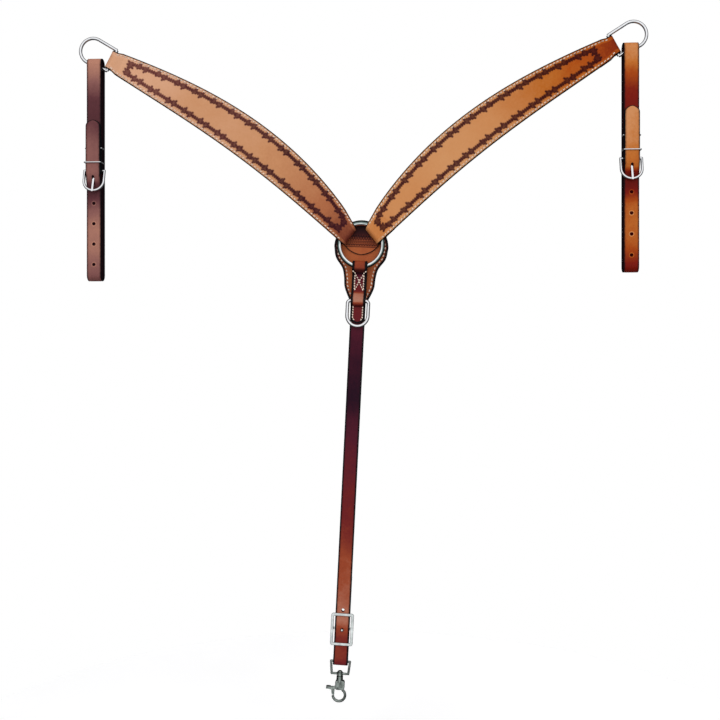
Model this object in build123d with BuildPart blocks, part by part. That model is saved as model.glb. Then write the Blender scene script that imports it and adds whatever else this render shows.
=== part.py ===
from build123d import *
import os
from math import atan, cos, hypot, pi, radians, sin, sqrt

# Western contoured breast collar, hung up by its shoulder dees.
# Origin: centre of the centre ring. +X to the viewer's right, +Z up, front faces -Y.
# Depths are given as "front" values: distance towards the viewer, so y = -front.

# ---- driving dimensions, mm and degrees ----
RING_RADIUS = 36.8            # centre ring, to the middle of its wire
RING_WIRE = 4.0               # wire radius

WING_REACH = 543.0            # ring centre to the fold over the shoulder dee
WING_START = 23.8             # where the wing's centreline curve begins
WING_RISE = 30.6              # how far the wing arches above its chord
WING_SKEW = 0.88              # below 1 the arch peaks nearer the ring
END_HALF_WIDTH = 16.15        # half the wing's width at either end
BULGE = 18.2                  # extra half width at the widest place
BULGE_SKEW = 0.85
BULGE_FULL = 0.8              # below 1 the wing keeps its width further towards its ends
WING_ANGLES = {"left": 36.6, "right": 37.9}
FACE_THICK = 3.0
LINING_THICK = 2.4
FLEX_REACH = 62.0             # the wing bends here, just outside the ring
FLEX_GAP = 3.3                # hinge axis to the ring loop's end face
STATIONS = 9                  # outline points along each long edge

LOOP_CAVITY = 4.4             # inner radius of the fold round the ring wire
LOOP_THICK = 2.8
LOOP_CREASE = 29.5            # ring centre to the middle of the fold's bend
LOOP_HALF_WIDTH = 17.3

DEE_WIRE = 2.75
DEE_BAR_HALF = 19.5
DEE_BOW_RADIUS = 21.9
DEE_BOW_REACH = 37.5          # bar to bow centre
DEE_LEAN = (DEE_BOW_RADIUS - DEE_BAR_HALF) / DEE_BOW_REACH   # of its two legs, radians
DEE_CLEARANCE = 0.3
DEE_TAIL = 40.0               # length of the leather turned back behind the wing

STRAP = 25.4                  # one inch strap
TUG_THICK = 3.5
TUG_LENGTH = 384.0
TUG_RUN = 9.25                # loop centre plane to either run's middle
TUG_TOP_RADIUS = 8.75
TUG_SIDE_SHIFT = 5.0          # the tug hangs this far towards the wing from the bow's middle
TUG_TIP = 108.8               # distances down from the top of the tug's fold
UPPER_KEEPER = 156.6
LOWER_KEEPER = 181.5
HEEL_BAR = 194.5
BUCKLE_BOTTOM = 231.5
HOLE_FIRST = 251.0
HOLE_PITCH = 35.0
HOLES = 4
HOLE_RADIUS = 2.8
BUCKLE_WIRE = 2.25
BUCKLE_HALF = 17.25
KEEPER_WIRE = 1.15
TONGUE_WIRE = 1.5
CHAPE_TAIL = 140.0

GIRTH_LEAN = 2.85             # the girth strap hangs this far off plumb
GIRTH_THICK = 3.8
GIRTH_MID = -4.3              # front value of the strap's mid-plane
GIRTH_FLEX = 150.0            # distances below the ring centre
GIRTH_TOP = 64.0
TIE_BAR = 95.0
TIE_BOTTOM = 141.0
TIE_WIRE = 3.0
TIE_HALF = 17.8
TIE_CORNER = 5.0
OVERLAY_THICK = 3.2
OVERLAY_MID = -0.6
OVERLAY_END = 133.0
OVERLAY_ROUND = 9.0           # how far up its end is rounded
HANGER_TAIL = 96.0            # lower end of the run behind the girth strap
HANGER_NIP = 41.0             # the front run turns in here, under its fold
HANGER_FLAT = 52.0            # and lies on the girth strap from here
CONWAY_TOP = 630.0
CONWAY_PEG = 656.4
CONWAY_BOTTOM = 680.4
CONWAY_HALF = 17.0
CONWAY_WIDE = 4.6             # width of the frame's bars
CONWAY_BAR = 2.2              # depth of the bars
CONWAY_CROSS = 4.0            # height of the middle bar
CONWAY_POST = 3.0             # width of the posts that carry it
PEG_RADIUS = 2.0
STRAP_HOLE = 622.6
DOUBLE_BACK = 566.0
BAIL_BAR = 711.0
BAIL_HALF = 16.2
BAIL_TAPER = 2.0
BAIL_WIRE = 2.0
HUB_RADIUS = 5.2
SWIVEL_RADIUS = 2.2
SWIVEL_HEAD = 3.9

SAFE_FRONT = -9.8
SAFE_FACE_THICK = 2.4
SAFE_LINING_THICK = 1.8
SAFE_RADIUS = 46.5
SAFE_SIDE = [(42.5, -22), (30.5, -40), (27.2, -54), (25.6, -70), (14, -98)]
DISC_RADIUS = 34.8
DISC_RISE = 19.2              # disc centre above the ring centre
DISC_TOP_RADIUS = 40.0        # its upper edge follows the safe's
SAFE_CENTRE = -3.0
DISC_THICK = 2.0

BODY_TOP = 740.0
BODY_SIZE = 16.0
BODY_THICK = 9.6
NECK_RADIUS = 5.6
HOOK_CENTRE = 768.7
HOOK_RADIUS = 10.5
HOOK_WIRE = 2.25
HOOK_ANGLES = (62, -48, -171) # where the hook leaves the body, passes its low side and ends
GATE_PIN = 749.8
GATE_PIN_ACROSS = -1.5
PIN_RADIUS = 1.5
GATE_REACH = 20.8             # pin to the gate's end, just short of the hook's end
GATE_OUTER = -12.4
GATE_INNER = -8.2
TRIGGER_THICK = 2.4
SPRING_COILS = 3
SPRING_WIRE = 0.3
BAIL_DROP = 21.0              # strap fold to the bail's lower bar

RUNNING_GAP = 0.05
WIDE = 100.0

os.makedirs("parts", exist_ok=True)


def save(builder, label):
    builder.part.label = label
    export_step(builder.part, f"parts/{label}.step")


# ---- the wing's centreline and half width, in its own plane ----
def along(reach):
    return (reach - WING_START) / (WING_REACH - WING_START)


def centre_rise(reach):
    return WING_RISE * sin(pi * along(reach) ** WING_SKEW)


def half_width(reach):
    swell = max(sin(pi * along(reach) ** BULGE_SKEW), 0)
    return END_HALF_WIDTH + BULGE * swell ** BULGE_FULL


def slope(reach):
    step = 0.5
    low = max(reach - step, WING_START)
    high = min(reach + step, WING_REACH)
    return atan((centre_rise(high) - centre_rise(low)) / (high - low))


def edge_point(reach, offset):
    turn = slope(reach)
    return (reach - offset * sin(turn), centre_rise(reach) + offset * cos(turn))


def wing_plane(side):
    """Local x runs out along the wing, local y towards its upper edge."""
    sign = -1 if side == "left" else 1
    turn = radians(WING_ANGLES[side])
    return Plane(
        origin=(0, 0, 0),
        x_dir=(sign * cos(turn), 0, sin(turn)),
        z_dir=(0, -sign, 0),
    )


def front_sign(side):
    """Local z of a wing plane points to the front on the right, to the back on the left."""
    return -1 if side == "left" else 1


def cross_plane(side, origin, direction):
    """A plane across the wing: local x follows direction, local y is front."""
    base = wing_plane(side)
    start = base.from_local_coords(origin)
    ahead = base.from_local_coords((origin[0] + direction[0], origin[1] + direction[1], 0))
    return Plane(origin=start, x_dir=ahead - start, z_dir=(ahead - start).cross(Vector(0, -1, 0)))


def end_frame():
    """Middle of the outer crease, and the unit direction the wing points there."""
    turn = slope(WING_REACH)
    return (WING_REACH, centre_rise(WING_REACH), 0), (cos(turn), sin(turn))


def stations(first, last):
    return [first + (last - first) * i / (STATIONS - 1) for i in range(STATIONS)]


def wing_outline(first, last):
    """Closed outline of the wing between two reaches, widest in its middle."""
    upper = [edge_point(r, half_width(r)) for r in stations(first, last)]
    lower = [edge_point(r, -half_width(r)) for r in stations(first, last)]
    with BuildSketch() as outline:
        with BuildLine():
            Spline(*upper)
            Line(upper[-1], lower[-1])
            Spline(*lower)
            Line(lower[0], upper[0])
        make_face()
    return outline.sketch


# ---- hardware on the ring and wings ----
def make_ring():
    """Torus lying in the XZ plane."""
    with BuildPart() as ring:
        with BuildSketch(Plane.XY):
            with Locations((RING_RADIUS, 0)):
                Circle(RING_WIRE)
        revolve(axis=Axis.Y)
    save(ring, "centre_ring")


def make_ring_loop(side):
    """The wing's inner end: leather folded round the ring and sewn to itself."""
    base = wing_plane(side)
    outer = LOOP_CAVITY + LOOP_THICK
    end = FLEX_REACH - FLEX_GAP
    merge = end - 4
    wire_edge = RING_RADIUS + 1
    with BuildPart() as loop:
        with BuildSketch(cross_plane(side, (0, 0, 0), (1, 0))):
            with BuildLine():
                ThreePointArc((LOOP_CREASE, outer), (LOOP_CREASE - outer, 0), (LOOP_CREASE, -outer))
                Polyline(
                    (LOOP_CREASE, -outer),
                    (wire_edge + 1, -outer),
                    (end, -LINING_THICK),
                    (end + 20, -LINING_THICK),
                    (end + 20, FACE_THICK),
                    (end, FACE_THICK),
                    (wire_edge + 1, outer),
                    (LOOP_CREASE, outer),
                )
            make_face()
            with BuildLine():
                ThreePointArc(
                    (LOOP_CREASE, LOOP_CAVITY),
                    (LOOP_CREASE - LOOP_CAVITY, 0),
                    (LOOP_CREASE, -LOOP_CAVITY),
                )
                Polyline(
                    (LOOP_CREASE, -LOOP_CAVITY),
                    (wire_edge, -LOOP_CAVITY),
                    (merge, 0.3),
                    (wire_edge, LOOP_CAVITY),
                    (LOOP_CREASE, LOOP_CAVITY),
                )
            make_face(mode=Mode.SUBTRACT)
        extrude(amount=WIDE, both=True)
        half = half_width(FLEX_REACH)
        inner = (FLEX_REACH - FLEX_GAP * cos(slope(FLEX_REACH)),
                 centre_rise(FLEX_REACH) - FLEX_GAP * sin(slope(FLEX_REACH)))
        turn = slope(FLEX_REACH)
        with BuildSketch(base):
            with BuildLine():
                Polyline(
                    (LOOP_CREASE - outer - 1, LOOP_HALF_WIDTH),
                    (inner[0] - half * sin(turn), inner[1] + half * cos(turn)),
                    (inner[0] + half * sin(turn), inner[1] - half * cos(turn)),
                    (LOOP_CREASE - outer - 1, -LOOP_HALF_WIDTH),
                    close=True,
                )
            make_face()
        extrude(amount=WIDE, both=True, mode=Mode.INTERSECT)
    save(loop, f"{side}_ring_loop")


def knuckle_profile(radius, facing):
    """Quarter round about the flex line. facing is +1 for the front, -1 for the back."""
    middle = radius * sqrt(0.5)
    with BuildSketch() as profile:
        with BuildLine():
            ThreePointArc((-radius, 0), (-middle, facing * middle), (0, facing * radius))
            Polyline((0, facing * radius), (1, facing * radius), (1, 0), (-radius, 0))
        make_face()
    return profile.sketch


def flex_plane(side):
    """Across the wing at its flex line."""
    turn = slope(FLEX_REACH)
    return cross_plane(side, (FLEX_REACH, centre_rise(FLEX_REACH), 0), (cos(turn), sin(turn)))


def make_wing_face(side):
    """Tooled top leather, with its outer end folded back over the dee's bar."""
    base = wing_plane(side)
    sign = front_sign(side)
    fold = 34.0
    cavity = DEE_WIRE + DEE_CLEARANCE
    outer = cavity + FACE_THICK
    back = -LINING_THICK
    with BuildPart() as face:
        with BuildSketch(base):
            add(wing_outline(FLEX_REACH, WING_REACH - fold))
        extrude(amount=sign * FACE_THICK)
        with BuildSketch(flex_plane(side)):
            add(knuckle_profile(FACE_THICK, 1))
        extrude(amount=half_width(FLEX_REACH) - 0.2, both=True)
        origin, direction = end_frame()
        with BuildSketch(cross_plane(side, origin, direction)):
            with BuildLine():
                ThreePointArc((-outer, outer), (0, 0), (-outer, -outer))
                Polyline(
                    (-outer, -outer),
                    (-outer - 5, -outer),
                    (-fold + 8, back - FACE_THICK),
                    (-DEE_TAIL, back - FACE_THICK),
                    (-DEE_TAIL, back),
                    (-22, back),
                    (-outer - 5, -cavity),
                    (-outer, -cavity),
                )
                ThreePointArc((-outer, -cavity), (-outer + cavity, 0), (-outer, cavity))
                Polyline(
                    (-outer, cavity),
                    (-outer - 5, cavity),
                    (-22, 0),
                    (-fold - 2, 0),
                    (-fold - 2, FACE_THICK),
                    (-22, FACE_THICK),
                    (-outer - 5, outer),
                    (-outer, outer),
                )
            make_face()
        extrude(amount=END_HALF_WIDTH, both=True)
    save(face, f"{side}_wing_face")


def make_wing_lining(side):
    base = wing_plane(side)
    sign = front_sign(side)
    with BuildPart() as lining:
        with BuildSketch(base):
            add(wing_outline(FLEX_REACH, WING_REACH - 24))
        extrude(amount=-sign * LINING_THICK)
        with BuildSketch(flex_plane(side)):
            add(knuckle_profile(LINING_THICK, -1))
        extrude(amount=half_width(FLEX_REACH) - 0.2, both=True)
    save(lining, f"{side}_wing_lining")


def dee_places(side):
    """Bar centre and bow centre of the shoulder dee."""
    origin, direction = end_frame()
    base = wing_plane(side)
    back = DEE_WIRE + DEE_CLEARANCE + FACE_THICK
    bar = (origin[0] - back * direction[0], origin[1] - back * direction[1], 0)
    bow = (bar[0] + DEE_BOW_REACH * direction[0], bar[1] + DEE_BOW_REACH * direction[1], 0)
    return base.from_local_coords(bar), base.from_local_coords(bow)


def make_shoulder_dee(side):
    """Wire dee: straight bar inside the wing's fold, round bow outside."""
    bar, bow = dee_places(side)
    out = bow - bar
    touch_x = DEE_BOW_REACH - DEE_BOW_RADIUS * sin(DEE_LEAN)
    touch_y = DEE_BOW_RADIUS * cos(DEE_LEAN)
    flat = Plane(origin=bar, x_dir=out, z_dir=(0, -1, 0))
    with BuildPart() as dee:
        with BuildLine(flat) as path:
            Line((0, -DEE_BAR_HALF), (0, DEE_BAR_HALF))
            Line((0, DEE_BAR_HALF), (touch_x, touch_y))
            ThreePointArc(
                (touch_x, touch_y), (DEE_BOW_REACH + DEE_BOW_RADIUS, 0), (touch_x, -touch_y)
            )
            Line((touch_x, -touch_y), (0, -DEE_BAR_HALF))
        with BuildSketch(Plane(origin=bar, x_dir=out, z_dir=flat.y_dir)):
            Circle(DEE_WIRE)
        sweep(transition=Transition.ROUND)
    save(dee, f"{side}_shoulder_dee")


# ---- the tug straps ----
def tug_rest(side):
    """Wire's middle where the strap's outer edge rests on the dee's sloping lower leg."""
    bar, bow = dee_places(side)
    out = bow - bar
    leg_slope = atan(out.Z / abs(out.X)) - DEE_LEAN
    beyond = STRAP / 2 - TUG_SIDE_SHIFT
    return bow.Z + (beyond * sin(leg_slope) - DEE_BOW_RADIUS) / cos(leg_slope), leg_slope


def tug_origin(side):
    """Top of the tug's fold, on the strap's middle line."""
    bow = dee_places(side)[1]
    inward = 1 if side == "left" else -1
    wire_middle, leg_slope = tug_rest(side)
    wire_top = wire_middle + DEE_WIRE / cos(leg_slope)
    return Vector(bow.X + inward * TUG_SIDE_SHIFT, 0, wire_top + DEE_CLEARANCE + TUG_THICK)


def tug_section(side):
    """Side view of a tug: local x is front, local y up from the top of the fold."""
    return Plane(origin=tug_origin(side), x_dir=(0, -1, 0), z_dir=(-1, 0, 0))


def tug_face(side, front):
    """Front view of a tug at a given front distance."""
    top = tug_origin(side)
    return Plane(origin=(top.X, -front, top.Z), x_dir=(1, 0, 0), z_dir=(0, -1, 0))


CHAPE_BAR = TUG_RUN - 2.0                                   # front value of the heel bar
FRAME_FRONT = TUG_RUN + TUG_THICK / 2 + BUCKLE_WIRE + 2.0   # of the round end
TIP_FRONT = TUG_RUN + TUG_THICK + 2 * KEEPER_WIRE + 0.6     # of the strap's pointed tip


def make_tug_strap(side):
    """One long strap: chape tail, heel bar, up, over the dee, down, back up to its tip."""
    half = TUG_THICK / 2
    bend = BUCKLE_WIRE + 0.15 + half
    tail = TUG_RUN - TUG_THICK - 0.3
    bottom = TUG_LENGTH - half
    with BuildPart() as strap:
        with BuildSketch(tug_section(side)):
            with BuildLine():
                FilletPolyline(
                    (tail, -CHAPE_TAIL),
                    (tail, -HEEL_BAR + 11),
                    (CHAPE_BAR - bend, -HEEL_BAR + 5),
                    (CHAPE_BAR - bend, -HEEL_BAR - bend),
                    (CHAPE_BAR + bend, -HEEL_BAR - bend),
                    (CHAPE_BAR + bend, -HEEL_BAR + 5),
                    (TUG_RUN, -HEEL_BAR + 12),
                    (TUG_RUN, -half),
                    (-TUG_RUN, -half),
                    (-TUG_RUN, -bottom),
                    (TUG_RUN, -bottom),
                    (TUG_RUN, -BUCKLE_BOTTOM + 8),
                    (TIP_FRONT, -HEEL_BAR - 7),
                    (TIP_FRONT, -TUG_TIP),
                    radius=[4, 4, 3.9, 3.9, 4, 4, TUG_TOP_RADIUS, TUG_TOP_RADIUS,
                            TUG_TOP_RADIUS, TUG_TOP_RADIUS, 12, 12],
                )
            trace(line_width=TUG_THICK)
        extrude(amount=STRAP / 2, both=True)
        # pointed tip, holes, and the slots the tongue passes through
        point = STRAP / 2
        with BuildSketch(tug_face(side, TIP_FRONT - half - 0.2)):
            for hand in (-1, 1):
                with BuildLine():
                    Polyline(
                        (0, -TUG_TIP + 1),
                        (hand * (point + 1), -TUG_TIP + 1),
                        (hand * (point + 1), -TUG_TIP - 7.5),
                        (hand * point, -TUG_TIP - 7),
                        (0, -TUG_TIP),
                        close=True,
                    )
                make_face()
        extrude(amount=TUG_THICK + 0.4, mode=Mode.SUBTRACT)
        with BuildSketch(tug_face(side, 0)):
            with Locations(*[(0, -HOLE_FIRST - i * HOLE_PITCH) for i in range(HOLES)]):
                Circle(HOLE_RADIUS)
            with Locations((0, -HEEL_BAR - 17)):
                Rectangle(2 * TONGUE_WIRE + 1.4, 16)
            with Locations((0, -HEEL_BAR - 1.5)):
                Rectangle(2 * TONGUE_WIRE + 3.4, 13)
        extrude(amount=TUG_RUN + 12, mode=Mode.SUBTRACT)
        # the tip's layer runs unbroken over the chape
        with BuildSketch(tug_face(side, TIP_FRONT - half)):
            with Locations((0, -HEEL_BAR - 1.3)):
                Rectangle(2 * TONGUE_WIRE + 4, 13.4)
        extrude(amount=TUG_THICK)
    save(strap, f"{side}_tug_strap")


def buckle_slope():
    """Tilt of the buckle from its heel bar to its round end, in radians."""
    return atan((FRAME_FRONT - CHAPE_BAR) / (BUCKLE_BOTTOM - BUCKLE_WIRE - HEEL_BAR))


def buckle_plane(side):
    """Local x across, local y back up the strap, lying in the tilted frame."""
    top = tug_origin(side)
    tilt = buckle_slope()
    return Plane(
        origin=(top.X, -CHAPE_BAR, top.Z - HEEL_BAR),
        x_dir=(1, 0, 0),
        z_dir=(0, -cos(tilt), sin(tilt)),
    )


def make_tug_buckle(side):
    """Horseshoe frame: straight heel bar above, round end below."""
    length = hypot(FRAME_FRONT - CHAPE_BAR, BUCKLE_BOTTOM - BUCKLE_WIRE - HEEL_BAR)
    plane = buckle_plane(side)
    straight = length - BUCKLE_HALF
    with BuildPart() as frame:
        with BuildLine(plane):
            Line((-BUCKLE_HALF, 0), (-BUCKLE_HALF, -straight))
            ThreePointArc((-BUCKLE_HALF, -straight), (0, -length), (BUCKLE_HALF, -straight))
            Line((BUCKLE_HALF, -straight), (BUCKLE_HALF, 0))
        corner = plane.from_local_coords((-BUCKLE_HALF, 0))
        with BuildSketch(Plane(origin=corner, x_dir=plane.x_dir, z_dir=-plane.y_dir)):
            Circle(BUCKLE_WIRE)
        sweep()
        with BuildSketch(Plane(origin=corner, x_dir=plane.z_dir, z_dir=plane.x_dir)):
            Circle(BUCKLE_WIRE)
        extrude(amount=2 * BUCKLE_HALF)
        with Locations(corner, plane.from_local_coords((BUCKLE_HALF, 0))):
            Sphere(BUCKLE_WIRE)
    save(frame, f"{side}_tug_buckle")


def make_tug_tongue(side):
    """Wire tongue: an eye round the heel bar, then straight out over the round end."""
    eye = BUCKLE_WIRE + RUNNING_GAP
    reach_down = BUCKLE_BOTTOM - HEEL_BAR + 0.5
    tip_front = FRAME_FRONT + BUCKLE_WIRE + TONGUE_WIRE + 0.2
    start = (CHAPE_BAR + 1.0, -HEEL_BAR - eye - TONGUE_WIRE + 0.4)
    finish = (tip_front + 1.0, -HEEL_BAR - reach_down)
    with BuildPart() as tongue:
        with BuildSketch(tug_section(side)):
            with Locations((CHAPE_BAR, -HEEL_BAR)):
                Circle(eye + 1.4)
                Circle(eye, mode=Mode.SUBTRACT)
            with BuildLine():
                Line(start, finish)
            trace(line_width=2 * TONGUE_WIRE)
        extrude(amount=TONGUE_WIRE, both=True)
    save(tongue, f"{side}_tug_tongue")


def make_keeper(side, label, drop, front_middle):
    """Rectangular wire loop round the strap's layers."""
    rear = TUG_RUN - TUG_THICK - 0.3 - TUG_THICK / 2 - KEEPER_WIRE - 0.4
    across = STRAP / 2 + 0.5 + KEEPER_WIRE
    bend = 1.5 * KEEPER_WIRE
    top = tug_origin(side)
    plane = Plane(origin=(top.X, 0, top.Z - drop), x_dir=(1, 0, 0), z_dir=(0, 0, 1))
    with BuildPart() as keeper:
        with BuildLine(plane):
            Line((0, -rear), (across - bend, -rear))
            RadiusArc((across - bend, -rear), (across, -rear - bend), bend)
            Line((across, -rear - bend), (across, -front_middle + bend))
            RadiusArc((across, -front_middle + bend), (across - bend, -front_middle), bend)
            Line((across - bend, -front_middle), (bend - across, -front_middle))
            RadiusArc((bend - across, -front_middle), (-across, -front_middle + bend), bend)
            Line((-across, -front_middle + bend), (-across, -rear - bend))
            RadiusArc((-across, -rear - bend), (bend - across, -rear), bend)
            Line((bend - across, -rear), (0, -rear))
        with BuildSketch(Plane(origin=(top.X, -rear, top.Z - drop), x_dir=(0, 1, 0),
                               z_dir=(1, 0, 0))):
            Circle(KEEPER_WIRE)
        sweep()
    save(keeper, f"{side}_{label}")


# ---- the girth side: everything sewn to the hanger, all leaning together ----
LEAN = radians(GIRTH_LEAN)
UP = Vector(sin(LEAN), 0, cos(LEAN))
ACROSS = Vector(cos(LEAN), 0, -sin(LEAN))


def girth_section():
    """Side view: local x is front, local y up the strap."""
    return Plane(origin=(0, 0, 0), x_dir=(0, -1, 0), z_dir=ACROSS * -1)


def girth_face(front):
    """Front view: local x across, local y up the strap, local z to the front."""
    return Plane(origin=(0, -front, 0), x_dir=ACROSS, z_dir=(0, -1, 0))


def girth_cross(front, drop):
    """Across the strap at a front value and a distance down: extruding goes up the strap."""
    return Plane(origin=girth_face(front).from_local_coords((0, -drop)), x_dir=ACROSS, z_dir=UP)


def safe_outline():
    """Round above, drawn in to a narrow neck below."""
    side_points = [(SAFE_RADIUS, SAFE_CENTRE)] + SAFE_SIDE
    other_side = [(-x, y) for x, y in side_points]
    with BuildSketch() as outline:
        with BuildLine():
            ThreePointArc(side_points[0], (0, SAFE_RADIUS + SAFE_CENTRE), other_side[0])
            Spline(*side_points, tangents=[(0, -1), (-0.6, -1)])
            Line(side_points[-1], other_side[-1])
            Spline(*other_side, tangents=[(0, -1), (0.6, -1)])
        make_face()
    return outline.sketch


def make_safe():
    with BuildPart() as face:
        with BuildSketch(girth_face(SAFE_FRONT)):
            add(safe_outline())
        extrude(amount=-SAFE_FACE_THICK)
    save(face, "ring_safe_face")
    with BuildPart() as lining:
        with BuildSketch(girth_face(SAFE_FRONT - SAFE_FACE_THICK)):
            add(safe_outline())
        extrude(amount=-SAFE_LINING_THICK)
    save(lining, "ring_safe_lining")


def make_disc():
    """Overlay seen through the ring, round below, following the safe's edge above."""
    with BuildPart() as disc:
        with BuildSketch(girth_face(SAFE_FRONT)):
            with Locations((0, DISC_RISE)):
                Circle(DISC_RADIUS)
            with Locations((0, SAFE_CENTRE)):
                Circle(DISC_TOP_RADIUS, mode=Mode.INTERSECT)
        extrude(amount=DISC_THICK)
        fillet(disc.faces().sort_by(Axis.Y)[0].edges(), 0.8)
    save(disc, "centre_disc")


def make_hanger():
    """Strap folded round the ring; its front run holds the tie-down dee's bar."""
    half = OVERLAY_THICK / 2
    ring_out = LOOP_CAVITY + half
    fold_top = half + LOOP_CAVITY - sqrt(RING_RADIUS ** 2 - (STRAP / 2) ** 2)
    bulge = TIE_WIRE + DEE_CLEARANCE + half
    bar_front = OVERLAY_MID - half + DEE_CLEARANCE + TIE_WIRE
    rear = SAFE_FRONT + 0.2 + half
    edge = STRAP / 2
    shoulder = OVERLAY_ROUND - OVERLAY_END
    with BuildPart() as hanger:
        with BuildSketch(girth_section()):
            with BuildLine():
                FilletPolyline(
                    (rear, -HANGER_TAIL),
                    (rear, -62),
                    (-ring_out, -47),
                    (-ring_out, fold_top),
                    (ring_out, fold_top),
                    (ring_out, -HANGER_NIP),
                    (OVERLAY_MID, -HANGER_FLAT),
                    (OVERLAY_MID, -TIE_BAR + 13),
                    (bar_front + bulge, -TIE_BAR + 5),
                    (bar_front + bulge, -TIE_BAR - 5),
                    (OVERLAY_MID, -TIE_BAR - 9),
                    (OVERLAY_MID, -OVERLAY_END),
                    radius=[4, 4, ring_out - 0.2, ring_out - 0.2, 4, 4, 4, 4, 2.2, 2.2],
                )
            trace(line_width=OVERLAY_THICK)
        extrude(amount=STRAP / 2, both=True)
        with BuildSketch(girth_face(OVERLAY_MID - half - 0.1)):
            with BuildLine():
                ThreePointArc((-edge, shoulder), (0, -OVERLAY_END), (edge, shoulder))
                Polyline(
                    (edge, shoulder),
                    (edge + 1, -OVERLAY_END - 1),
                    (-edge - 1, -OVERLAY_END - 1),
                    (-edge, shoulder),
                )
            make_face()
        extrude(amount=OVERLAY_THICK + 0.3, mode=Mode.SUBTRACT)
    save(hanger, "hanger_strap")


def make_tie_down_dee():
    """Wire dee: straight bar in the hanger's sleeve, round bow below."""
    bar_front = OVERLAY_MID - OVERLAY_THICK / 2 + DEE_CLEARANCE + TIE_WIRE
    plane = girth_face(bar_front)
    bow = TIE_BOTTOM - TIE_WIRE - TIE_HALF
    with BuildPart() as dee:
        with BuildLine(plane):
            FilletPolyline(
                (-TIE_HALF, -bow),
                (-TIE_HALF, -TIE_BAR),
                (TIE_HALF, -TIE_BAR),
                (TIE_HALF, -bow),
                radius=TIE_CORNER,
            )
            ThreePointArc((TIE_HALF, -bow), (0, -bow - TIE_HALF), (-TIE_HALF, -bow))
        with BuildSketch(Plane(origin=plane.from_local_coords((-TIE_HALF, -bow)),
                               x_dir=ACROSS, z_dir=UP)):
            Circle(TIE_WIRE)
        sweep()
    save(dee, "tie_down_dee")


def make_girth_top():
    """The strap's sewn upper end, down to where it starts to bend."""
    half = GIRTH_THICK / 2
    with BuildPart() as top:
        with BuildSketch(girth_face(GIRTH_MID - half)):
            with Locations((0, -(GIRTH_TOP + GIRTH_FLEX - half - 0.3) / 2)):
                Rectangle(STRAP, GIRTH_FLEX - half - 0.3 - GIRTH_TOP)
        extrude(amount=GIRTH_THICK)
    save(top, "girth_strap_upper")


BACK_RUN = GIRTH_MID - GIRTH_THICK - 0.3


def make_girth_strap():
    """Long run down to the buckle, folded through the snap's bail and doubled back."""
    half = GIRTH_THICK / 2
    middle = (GIRTH_MID + BACK_RUN) / 2
    turn = BAIL_WIRE + 0.7 + half
    with BuildPart() as strap:
        with BuildSketch(girth_section()):
            with BuildLine():
                FilletPolyline(
                    (GIRTH_MID, -GIRTH_FLEX),
                    (GIRTH_MID, -BAIL_BAR + 12),
                    (middle + turn, -BAIL_BAR + 3),
                    (middle + turn, -BAIL_BAR - turn),
                    (middle - turn, -BAIL_BAR - turn),
                    (middle - turn, -BAIL_BAR + 3),
                    (BACK_RUN, -BAIL_BAR + 12),
                    (BACK_RUN, -DOUBLE_BACK),
                    radius=[4, 3, turn - 0.1, turn - 0.1, 3, 4],
                )
            trace(line_width=GIRTH_THICK)
            with Locations((GIRTH_MID, -GIRTH_FLEX)):
                Circle(half)
        extrude(amount=STRAP / 2, both=True)
        with BuildSketch(girth_face(BACK_RUN - GIRTH_THICK)):
            with Locations((0, -STRAP_HOLE), (0, -CONWAY_PEG)):
                Circle(HOLE_RADIUS)
        extrude(amount=4 * GIRTH_THICK, mode=Mode.SUBTRACT)
    save(strap, "girth_strap")


def make_conway_buckle():
    """Rectangular frame in front of the strap, its middle bar and peg behind."""
    front = GIRTH_MID + GIRTH_THICK / 2 + 0.2 + CONWAY_BAR / 2
    rear = BACK_RUN - GIRTH_THICK / 2 - 0.2 - CONWAY_BAR / 2
    height = CONWAY_BOTTOM - CONWAY_TOP
    middle = (CONWAY_BOTTOM + CONWAY_TOP) / 2
    depth = front - rear + CONWAY_BAR
    with BuildPart() as buckle:
        with BuildSketch(girth_face(front - CONWAY_BAR / 2)):
            with Locations((0, -middle)):
                RectangleRounded(2 * CONWAY_HALF + CONWAY_WIDE, height + CONWAY_WIDE, 4.0)
                RectangleRounded(
                    2 * CONWAY_HALF - CONWAY_WIDE, height - CONWAY_WIDE, 1.6, mode=Mode.SUBTRACT
                )
        extrude(amount=CONWAY_BAR)
        fillet(buckle.faces().sort_by(Axis.Y)[0].edges(), 0.8)
        with BuildSketch(girth_face(rear - CONWAY_BAR / 2)):
            for hand in (-1, 1):
                with Locations((hand * CONWAY_HALF, -CONWAY_PEG)):
                    Rectangle(CONWAY_POST, CONWAY_CROSS)
        extrude(amount=depth - 0.5)
        with BuildSketch(girth_face(rear - CONWAY_BAR / 2)):
            with Locations((0, -CONWAY_PEG)):
                Rectangle(2 * CONWAY_HALF + CONWAY_POST, CONWAY_CROSS)
        extrude(amount=CONWAY_BAR)
        with BuildSketch(girth_face(rear)):
            with Locations((0, -CONWAY_PEG)):
                Circle(PEG_RADIUS)
        extrude(amount=front - rear + 2.0)
        fillet(buckle.faces().filter_by(GeomType.PLANE).sort_by(Axis.Y)[0].edges(), 0.9)
    save(buckle, "conway_buckle")


# ---- the trigger snap ----
SNAP_MID = (GIRTH_MID + BACK_RUN) / 2


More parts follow.
